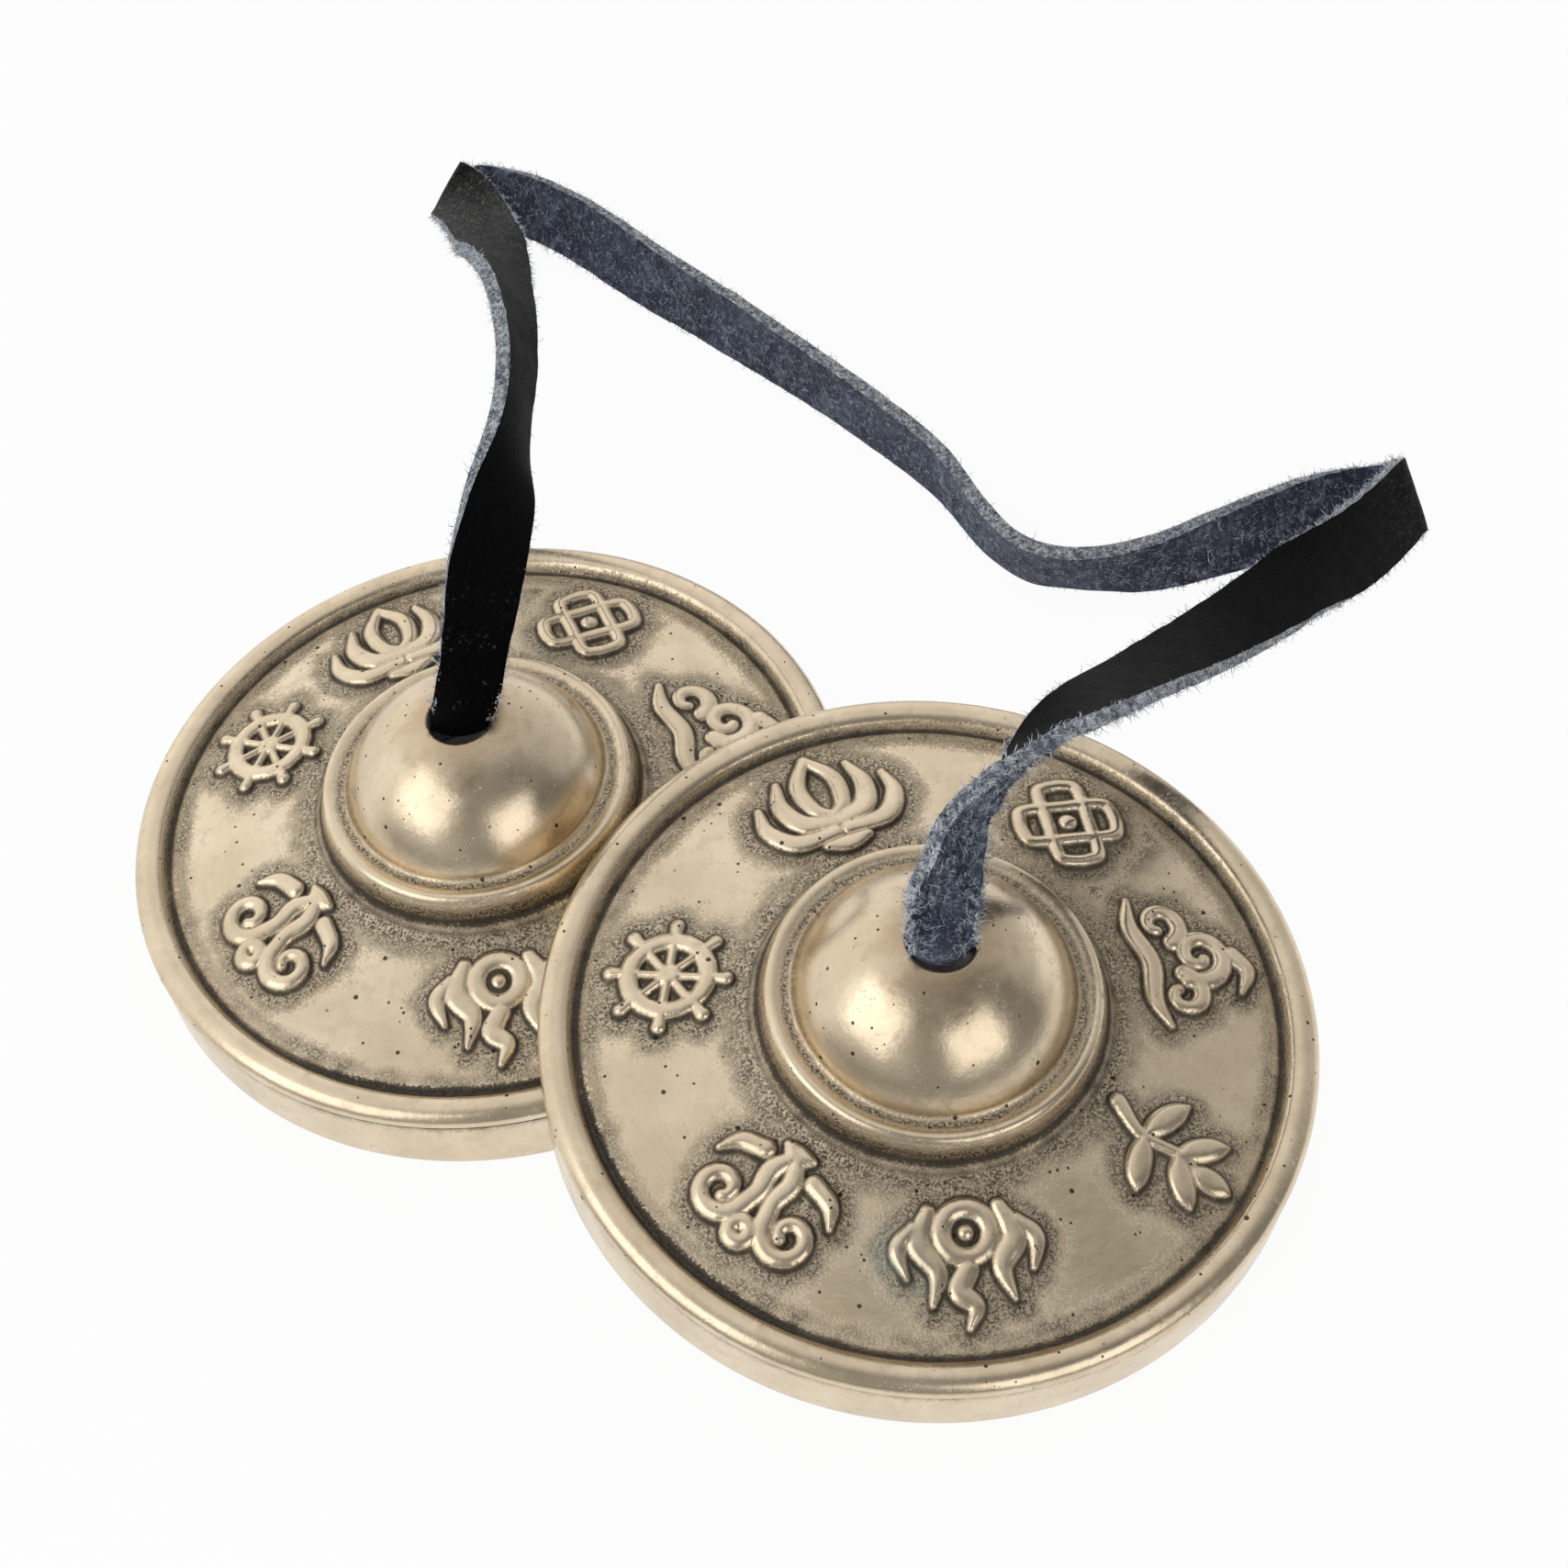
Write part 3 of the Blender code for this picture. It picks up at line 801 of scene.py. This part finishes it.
# The ornaments are drawn as strokes in mm, each round its own middle with the rim's side up
lotus = [
    brushed([(0, 4.6), (1.45, 2.2), (1.15, -0.4), (0, -1.5)], [0.42, 0.62, 0.6, 0.45]),
    brushed([(0, 4.6), (-1.45, 2.2), (-1.15, -0.4), (0, -1.5)], [0.42, 0.62, 0.6, 0.45]),
    brushed([(-1.6, -4.2), (0, -4.45), (1.6, -4.2)], [0.4, 0.75, 0.4]),
    *both_sides(
        brushed([(0.3, -2.2), (2.5, -1.4), (3.4, 0.8), (2.9, 3.1)], [0.7, 0.85, 0.7, 0.3]),
        brushed([(0.5, -3.1), (3.6, -3.0), (5.2, -1.0), (5.1, 1.2)], [0.6, 0.8, 0.65, 0.3]),
    ),
]
knotwork = []
for slant in (45, 135):
    c, s = heading(slant)
    oval = [(3.7, 0.6), (3.1, 1.55), (0, 1.6), (-3.1, 1.55), (-3.7, 0.6), (-3.7, -0.6)]
    oval += [(-3.1, -1.55), (0, -1.6), (3.1, -1.55), (3.7, -0.6), (3.7, 0.6)]
    knotwork.append(brushed([(c * x - s * y, s * x + c * y) for x, y in oval], [0.52] * 11))
knotwork.append(ring(0, 0, 0.08, 0.62))
cloud = [
    curl(0, 0.9, 2.3, -35, 400, (0.75, 0.45), 0.78),
    curl(-3.0, -1.3, 1.75, 20, 330, (0.7, 0.4), 0.7),
    curl(3.0, -1.3, 1.75, 160, -150, (0.7, 0.4), 0.7),
    brushed(
        [(-5.4, -3.1), (-3.0, -3.6), (0, -2.9), (3.0, -3.6), (5.4, -3.1)],
        [0.25, 0.65, 0.75, 0.65, 0.25],
    ),
    brushed([(0.3, 3.5), (1.8, 4.2), (3.5, 3.2)], [0.7, 0.6, 0.2]),
]
jewel = [
    ring(0, -1.9, 1.75, 0.68),
    ring(0, -1.9, 0.1, 0.42),
    brushed([(0.1, 0.6), (0.9, 2.1), (-0.1, 3.2), (0.5, 4.7)], [0.7, 0.8, 0.6, 0.2]),
    *both_sides(
        brushed([(2.5, -3.6), (3.4, -1.4), (2.3, 0.6), (2.9, 2.9)], [0.5, 0.85, 0.7, 0.2]),
        brushed([(3.6, -2.6), (4.9, -1.2), (4.5, 0.9)], [0.45, 0.6, 0.2]),
    ),
]
wheel = [ring(0, 0, 2.95, 0.68), ring(0, 0, 0.35, 0.62)]
for spoke in range(8):
    c, s = heading(45 * spoke)
    along = [(reach * c, reach * s) for reach in (0.6, 2.9, 4.3)]
    wheel.append(brushed(along, [0.3, 0.34, 0.5]))
spray = [brushed([(-0.9, -4.6), (0.2, -2.0), (-0.2, 1.0), (0.2, 3.0)], [0.6, 0.45, 0.4, 0.3])]
for x, y, turn, length in (
    (0.2, 2.5, 90, 2.3),
    (0.0, 0.9, 38, 3.6),
    (0.0, 0.9, 142, 3.6),
    (0.1, -1.7, 14, 4.0),
    (0.1, -1.7, 166, 4.0),
):
    c, s = heading(turn)
    leaf = [(x + length * t * c, y + length * t * s + 0.5 * t * t) for t in (0, 0.35, 0.7, 1)]
    spray.append(brushed(leaf, [0.28, 0.85, 0.8, 0.15]))
scrolls = [
    ring(0, 2.6, 0.75, 0.6),
    brushed([(-1.1, -4.3), (0, -4.0), (1.1, -4.3)], [0.3, 0.8, 0.3]),
    *both_sides(
        np.vstack(
            [
                brushed([(0.1, -3.8), (0.9, -2.2), (0.7, -0.5), (1.0, 0.9)], [0.5, 0.75, 0.7, 0.7]),
                curl(3.0, 0.9, 2.0, 180, -230, (0.72, 0.42), 0.72),
            ]
        ),
        brushed([(2.2, -3.1), (4.0, -2.6), (5.0, -1.3)], [0.7, 0.6, 0.2]),
    ),
]


def inside_strokes(points, strokes):
    """How far inside the nearest stroke each point lies, in mm, less than nothing outside them."""
    deepest = np.full(len(points), -9.0)
    for stroke in strokes:
        start, along = stroke[:-1, :2], np.diff(stroke[:, :2], axis=0)
        size = np.maximum((along**2).sum(1), 1e-9)
        share = np.clip(((points[:, None] - start) * along).sum(2) / size, 0, 1)
        gap = np.linalg.norm(points[:, None] - start - share[..., None] * along, axis=2)
        half = stroke[:-1, 2] + np.diff(stroke[:, 2]) * share
        deepest = np.maximum(deepest, (half - gap).max(1))
    return deepest


# The ornaments' strokes are drawn this much larger and wider on the casting
swell = 1.13
wider = 0.23


def inside_ornaments(points, ornaments):
    """The same for the field's points, in the cymbal's own plane, and the height of the ornament there."""
    deepest = np.full(len(points), -9.0)
    height = np.zeros(len(points))
    for strokes, reach, degrees, tall in ornaments:
        c, s = heading(degrees)
        outward = (points @ np.array([c, s]) - reach) / swell
        across = points @ np.array([s, -c]) / swell
        near = np.flatnonzero((np.abs(outward) < 7) & (np.abs(across) < 8))
        found = inside_strokes(np.column_stack([across[near], outward[near]]), strokes)
        found = found * swell + wider
        better = found > deepest[near]
        deepest[near[better]] = found[better]
        height[near[better]] = tall
    return deepest, height


def near_corners(reach, height, corners):
    """The strongest mark that any of these corners leaves: each has its place, size and strength."""
    found = np.zeros_like(reach)
    for x, z, size, share in corners:
        gap = np.hypot(reach - x, height - z)
        found = np.maximum(found, share * np.exp(-((gap / size) ** 2)))
    return found


# Places on the outline in mm, with the reach and strength of what gathers there
dirty_corners = (
    (14.55, 10.70, 0.60, 0.95),
    (15.10, 9.90, 0.60, 0.60),
    (12.05, 12.80, 0.24, 0.30),
    (29.35, 6.40, 0.34, 0.85),
    (28.75, 6.75, 0.30, 0.40),
    (32.20, 5.80, 0.20, 1.0),
    (2.80, 20.9, 0.40, 0.9),
)
rough_corners = (
    (14.40, 11.20, 1.20, 1.0),
    (15.60, 9.55, 1.5, 1.0),
    (16.60, 9.30, 1.6, 0.75),
    (12.25, 12.80, 0.50, 1.0),
    (29.35, 6.45, 0.75, 1.0),
    (28.20, 6.85, 1.1, 0.75),
    (32.20, 5.80, 0.30, 1.0),
)
groove_corner = (29.35, 6.45)
groove_cake, cake_reach, cake_spread = 1.35, 0.80, 38

# The relief: how far a stroke's pillow takes to rise, and the soft foot that runs out beside it
pillow_reach, pillow_power = 0.92, 0.62
foot_share, foot_reach = 0.16, 0.22


def cymbal_piece(name, ornaments, black_side, place, body, node):
    """The casting's outline spun round its axis, finer round the ornaments, which rise from its field.
    The groove holds most black dirt towards the bearing black_side, in degrees."""
    disc = bmesh.new()
    outline = [disc.verts.new((x, 0, z)) for x, z in casting[:-1]]
    edges = [disc.edges.new(pair) for pair in zip(outline, outline[1:])]
    edges.append(disc.edges.new((outline[-1], outline[0])))
    bmesh.ops.spin(
        disc,
        geom=[*outline, *edges],
        axis=(0, 0, 1),
        cent=(0, 0, 0),
        steps=spin_steps,
        angle=math.tau,
        use_merge=True,
    )
    bmesh.ops.remove_doubles(disc, verts=disc.verts[:], dist=1e-5)

    def field_depth():
        places = np.array([vert.co for vert in disc.verts])
        reach = np.hypot(places[:, 0], places[:, 1])
        field = (reach > 15.0) & (reach < 29.1) & (places[:, 2] > field_level(reach) - 0.54)
        deepest = np.full(len(places), -9.0)
        tall = np.zeros(len(places))
        deepest[field], tall[field] = inside_ornaments(places[field, :2], ornaments)
        return places, reach, deepest, tall

    # The faces are cut finer round the ornaments, and once more along the walls of their strokes
    for outer, inner in ((-1.1, 1.1), (-0.22, 0.62)):
        deepest = field_depth()[2]
        disc.verts.index_update()
        near = (deepest > outer) & (deepest < inner)
        chosen = [edge for edge in disc.edges if near[edge.verts[0].index] and near[edge.verts[1].index]]
        bmesh.ops.subdivide_edges(disc, edges=chosen, cuts=1, use_grid_fill=True)
    places, reach, deepest, tall = field_depth()
    # The points nearest the foot of each stroke's wall move onto it, so that the wall is clean
    step = 0.01
    on_foot = np.flatnonzero(np.abs(deepest) < 0.055)
    here = places[on_foot, :2]
    slope = np.column_stack(
        [
            inside_ornaments(here + shift, ornaments)[0] - deepest[on_foot]
            for shift in (np.array([step, 0]), np.array([0, step]))
        ]
    )
    slope /= np.maximum(np.linalg.norm(slope, axis=1), 1e-6)[:, None]
    places[on_foot, :2] -= slope * deepest[on_foot][:, None]
    deepest[on_foot] = 0
    share = np.clip(deepest / pillow_reach, 0, 1)
    rise = tall * (1 - (1 - share) ** 2) ** pillow_power
    foot = foot_share * tall * np.exp(np.minimum(deepest, 0) / foot_reach)
    lifted = np.where(deepest < 0, foot, np.hypot(rise, foot_share * tall))
    lifted = np.where(deepest > -2, lifted, 0)
    places[:, 2] += lifted
    angle = np.arctan2(places[:, 1], places[:, 0])
    level = places[:, 2] - lifted
    inside = (reach < 29.4) & (level < field_level(reach) - 1.2)
    top = np.clip((deepest - 0.12) / 0.25, 0, 1)
    beside = np.maximum(-deepest, 0)
    shelter = np.maximum(near_corners(reach, level, dirty_corners), np.exp(-beside / 0.50) * 0.70)
    bearing = np.degrees(angle) - black_side
    bearing = np.abs((bearing + 180) % 360 - 180)
    from_groove = np.hypot(reach - groove_corner[0], level - groove_corner[1])
    caked = groove_cake * np.exp(-((from_groove / cake_reach) ** 2))
    caked *= np.exp(-((bearing / cake_spread) ** 2))
    shelter = np.maximum(shelter, caked)
    shelter = np.where(inside, np.maximum(shelter, 0.45), shelter * (1 - top))
    rough = np.maximum(near_corners(reach, level, rough_corners), np.exp(-((beside / 1.9) ** 2)))
    rough = np.where(inside, 1.0, rough * (1 - top))
    for vert, co in zip(disc.verts, places):
        vert.co = Vector(co) / 1000
    bmesh.ops.recalc_face_normals(disc, faces=disc.faces[:])
    bmesh.ops.transform(disc, matrix=place, verts=disc.verts[:])
    mesh = bpy.data.meshes.new(name)
    disc.to_mesh(mesh)
    disc.free()
    mesh.shade_smooth()
    lathe = np.column_stack([np.cos(angle), np.sin(angle), reach])
    for label, values in (("lathe", lathe), ("own_place", places)):
        mark = mesh.attributes.new(label, "FLOAT_VECTOR", "POINT")
        mark.data.foreach_set("vector", values.astype(np.float32).ravel())
    for label, values in (("shelter", shelter), ("rough", rough)):
        mark = mesh.attributes.new(label, "FLOAT", "POINT")
        mark.data.foreach_set("value", values.astype(np.float32))
    made = add_piece(name, mesh)
    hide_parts(node)
    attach(made, body)
    return made


# Each ornament with its distance from the axis, bearing and height. The left cymbal's are lower where
# the right one lies over them.
left_ornaments = [
    (lotus, 22.3, 108.5, 0.88),
    (knotwork, 22.6, 60.0, 0.88),
    (cloud, 22.4, 13.0, 0.62),
    (spray, 22.5, -38.0, 0.28),
    (jewel, 21.9, -90.0, 0.62),
    (scrolls, 21.9, -151.0, 0.88),
    (wheel, 22.2, 150.8, 0.88),
]
right_ornaments = [
    (lotus, 22.2, 105.0, 0.88),
    (knotwork, 22.5, 49.5, 0.88),
    (cloud, 22.4, 7.5, 0.88),
    (spray, 22.2, -40.0, 0.88),
    (jewel, 22.0, -91.0, 0.88),
    (scrolls, 22.0, -136.5, 0.88),
    (wheel, 22.0, 164.0, 0.88),
]
left_place = Matrix.Translation((left_pivot.x, left_pivot.y, 0))
right_place = Matrix.Translation((0.0172204, -0.0158346, 0.0049195)) @ lean_turn
left_cymbal = cymbal_piece(
    "cast_cymbal_left", left_ornaments, 262, left_place, "cymbal_left", "cymbal_left"
)
right_cymbal = cymbal_piece(
    "cast_cymbal_right", right_ornaments, 212, right_place, "cymbal_right", "cymbal_right"
)

# Bronze effect: dirt in the corners, grainy casting skin round the ornaments, fine pits, brush lines
# and cloudy tarnish where it is polished
bronze_skin, n, given, result = effect(
    "cast bronze skin",
    [("Own place", "vector"), ("Lathe", "vector"), ("Shelter", "value"), ("Rough", "value")],
    [("Colour", "colour"), ("Roughness", "value"), ("Metal", "value"), ("Height", "value")],
)
own = given.outputs["Own place"]
lathe_in = given.outputs["Lathe"]
shelter_in = given.outputs["Shelter"]
rough_in = given.outputs["Rough"]
broad = n.noise(own, 0.14, 3.0, 0.55)
cloudy = n.noise(own, 0.55, 4.0, 0.6)
grit = n.noise(own, 4.2, 3.0, 0.75)
fine = n.noise(own, 9.0, 2.0, 0.6)
dents = n.add("TexVoronoi", {"Vector": own, "Scale": 3.4}, feature="F1")
skin_share = n.math("ADD", n.math("ADD", rough_in, n.swing(cloudy, 0.55)), n.swing(grit, 1.8))
skin_share = n.math("ADD", skin_share, n.swing(broad, 0.8))
skin = n.step(skin_share, 0.22, 0.98)
dirt_share = n.math("ADD", n.math("ADD", shelter_in, n.swing(grit, 1.5)), n.swing(cloudy, 0.5))
dirt = n.step(dirt_share, 0.42, 0.80)
specks = n.math("MULTIPLY", skin, n.step(n.math("ADD", grit, n.swing(fine, 0.5)), 0.51, 0.41))
cells = n.add("TexVoronoi", {"Vector": own, "Scale": 1.05, "Randomness": 1.0}, feature="F1")
few = n.step(n.noise(own, 0.42, 2.0), 0.54, 0.60)
pit = n.math("MULTIPLY", n.step(cells, 0.10, 0.17, 1.0, 0.0), few)
wide_cells = n.add("TexVoronoi", {"Vector": own, "Scale": 0.27, "Randomness": 1.0}, feature="F1")
wide_cells = n.math("ADD", wide_cells, n.swing(grit, 0.06))
pit = n.math("MAXIMUM", pit, n.step(wide_cells, 0.045, 0.065, 1.0, 0.0))
own_height = n.add("SeparateXYZ", {0: own}, out=2)
pit = n.math("MULTIPLY", pit, n.step(own_height, 5.2, 5.8, 0.15, 1.0))
turned = n.scaled(lathe_in, (2.5, 2.5, 16.0))
turned = n.add("VectorMath", {0: turned, 1: n.scaled(own, (0.0, 0.0, 9.0))}, operation="ADD")
hairlines = n.noise(turned, 1.0, 3.0, 0.8)
polish = n.mix(n.step(broad, 0.30, 0.70), (0.66, 0.54, 0.38), (0.80, 0.67, 0.49))
polish = n.mix(n.step(cloudy, 0.42, 0.80, 0.0, 0.5), polish, (0.52, 0.41, 0.27))
polish = n.mix(n.step(hairlines, 0.40, 0.75, 0.0, 0.22), polish, (0.80, 0.69, 0.52))
skinned = n.mix(n.step(grit, 0.38, 0.62), (0.13, 0.105, 0.074), (0.60, 0.50, 0.365))
from_axis = n.add("VectorMath", {0: n.scaled(own, (1.0, 1.0, 0.0))}, out=1, operation="LENGTH")
stain = n.step(n.math("ADD", from_axis, n.swing(cloudy, 9.0)), 7.5, 2.5, 0.0, 0.55)
polish = n.mix(stain, polish, (0.36, 0.245, 0.135))
tone = n.mix(n.math("MULTIPLY", skin, 0.90), polish, skinned)
tone = n.mix(n.math("MULTIPLY", specks, 0.84), tone, (0.040, 0.032, 0.024))
tone = n.mix(n.math("MULTIPLY", dirt, 0.90), tone, (0.040, 0.032, 0.023))
tone = n.mix(n.math("MULTIPLY", pit, 0.9), tone, (0.02, 0.016, 0.012))
n.put(tone, result.inputs["Colour"])
gloss = n.math("ADD", n.math("MULTIPLY", cloudy, 0.14), 0.19)
gloss = n.math("ADD", gloss, n.math("MULTIPLY", skin, 0.10))
gloss = n.math("ADD", gloss, n.math("MULTIPLY", dirt, 0.20))
n.put(gloss, result.inputs["Roughness"])
n.put(n.math("SUBTRACT", 1.0, n.math("MULTIPLY", dirt, 0.5)), result.inputs["Metal"])
height = n.math("MULTIPLY", n.math("ADD", grit, n.math("MULTIPLY", dents, 0.5)), skin)
height = n.math("SUBTRACT", height, n.math("MULTIPLY", pit, 1.2))
height = n.math("ADD", height, n.math("MULTIPLY", hairlines, 0.05))
height = n.math("ADD", height, n.math("MULTIPLY", cloudy, 0.8))
n.put(height, result.inputs["Height"])


def bronze(name, patch):
    """Bell bronze of one cymbal. The patch is a faint blue-green bloom, its x, y and size in mm."""
    made = new_material(name)
    n = Nodes(made.node_tree)
    own = n.mark("own_place", out=1)
    skin = placed(
        n,
        bronze_skin,
        {
            "Own place": own,
            "Lathe": n.mark("lathe", out=1),
            "Shelter": n.mark("shelter"),
            "Rough": n.mark("rough"),
        },
    )
    colour = skin.outputs["Colour"]
    if patch:
        x, y, size = patch
        from_patch = n.add(
            "VectorMath", {0: n.scaled(own, (1.0, 1.0, 0.0)), 1: (x, y, 0.0)}, out=1, operation="DISTANCE"
        )
        patchy = n.step(n.noise(own, 0.9, 4.0), 0.3, 0.7)
        bloom = n.math("MULTIPLY", n.step(from_patch, size * 0.3, size, 0.40, 0.0), patchy)
        colour = n.mix(bloom, colour, (0.33, 0.40, 0.34))
    n.dress(
        {
            "Base Color": colour,
            "Roughness": skin.outputs["Roughness"],
            "Metallic": skin.outputs["Metal"],
            "Normal": n.bump(skin.outputs["Height"], 0.9, 0.00006),
        }
    )
    return made


left_cymbal.data.materials.append(bronze("bronze of the left cymbal", None))
right_cymbal.data.materials.append(bronze("bronze of the right cymbal", (-6.0, -21.5, 5.5)))

# Table: a plain white sheet, which keeps a soft shadow
table_mesh = bmesh.new()
bmesh.ops.create_grid(table_mesh, x_segments=1, y_segments=1, size=3.0)
sheet = bpy.data.meshes.new("table")
table_mesh.to_mesh(sheet)
table_mesh.free()
white = new_material("white table")
n = Nodes(white.node_tree)
paper = n.dress({"Base Color": (0.92, 0.92, 0.92), "Roughness": 0.9, "Specular IOR Level": 0.0})
glow = n.tree.nodes.new("ShaderNodeEmission")
blend = n.tree.nodes.new("ShaderNodeMixShader")
sees = n.tree.nodes.new("ShaderNodeLightPath")
# The metal mirrors a bright sheet close by, and a darker one further off in front: a painted reflection,
# as only glossy rays see the sheet dimmed there
place = n.add("TexCoord", out=3)
off = n.add("VectorMath", {0: place, 1: (0.005, 0.02, 0.0)}, out=1, operation="DISTANCE")
ahead_of_pair = n.add("SeparateXYZ", {0: place}, out=1)
dim = n.math("MULTIPLY", n.step(off, 0.085, 0.13, 0.0, 0.78), n.step(ahead_of_pair, 0.03, -0.05))
mirrored = n.math("MULTIPLY", dim, sees.outputs["Is Glossy Ray"])
n.put(n.math("SUBTRACT", 1.0, mirrored), glow.inputs["Strength"])
plain = n.math("MAXIMUM", sees.outputs["Is Camera Ray"], sees.outputs["Is Glossy Ray"])
n.put(n.math("MULTIPLY", plain, 0.94), blend.inputs[0])
n.put(paper, blend.inputs[1])
n.put(glow.outputs[0], blend.inputs[2])
n.put(blend.outputs[0], n.tree.nodes["Material Output"].inputs["Surface"])
table = add_piece("table", sheet, white)

# Studio: a soft box to the left and a lower one in front to the right, in a pale room
room = bpy.data.worlds.new("room")
room.use_nodes = True
bpy.context.scene.world = room
n = Nodes(room.node_tree)
ahead = n.add("TexCoord", out=0)
split = n.tree.nodes.new("ShaderNodeSeparateXYZ")
n.put(ahead, split.inputs[0])
across, depth, height = split.outputs
level = n.math("ADD", n.step(depth, -0.45, 0.25, 0.30, 0.86), n.step(depth, 0.40, 0.90, 0.0, 0.16))
level = n.math("ADD", level, n.step(across, -0.15, -0.50, 0.0, 0.18))
level = n.math("ADD", level, n.step(across, 0.15, 0.65, 0.0, -0.28))
level = n.math("MAXIMUM", level, 0.22)
background = n.tree.nodes["Background"]
background.inputs["Color"].default_value = (1, 1, 1, 1)
seen = n.tree.nodes.new("ShaderNodeLightPath")
n.put(
    n.add("Mix", {0: seen.outputs["Is Camera Ray"], 2: level, 3: 1.0}, out=0, data_type="FLOAT"),
    background.inputs["Strength"],
)


lamp_distance = 0.8


def soft_box(name, azimuth, elevation, width, height, radiance):
    """A rectangular lamp on the given bearing, turned to the cymbals."""
    lamp = bpy.data.lights.new(name, "AREA")
    lamp.shape = "RECTANGLE"
    lamp.size = width
    lamp.size_y = height
    lamp.energy = radiance * math.pi * width * height
    made = bpy.data.objects.new(name, lamp)
    turn, rise = math.radians(azimuth), math.radians(elevation)
    bearing = Vector((math.cos(rise) * math.cos(turn), math.cos(rise) * math.sin(turn), math.sin(rise)))
    made.matrix_world = bearing.to_track_quat("Z", "Y").to_matrix().to_4x4()
    made.location = bearing * lamp_distance
    bpy.context.scene.collection.objects.link(made)


soft_box("left soft box", -152, 37, 0.66, 0.60, 1.25)
soft_box("right soft box", -60, 22, 0.58, 0.52, 1.35)

bpy.context.scene.view_settings.view_transform = "Standard"
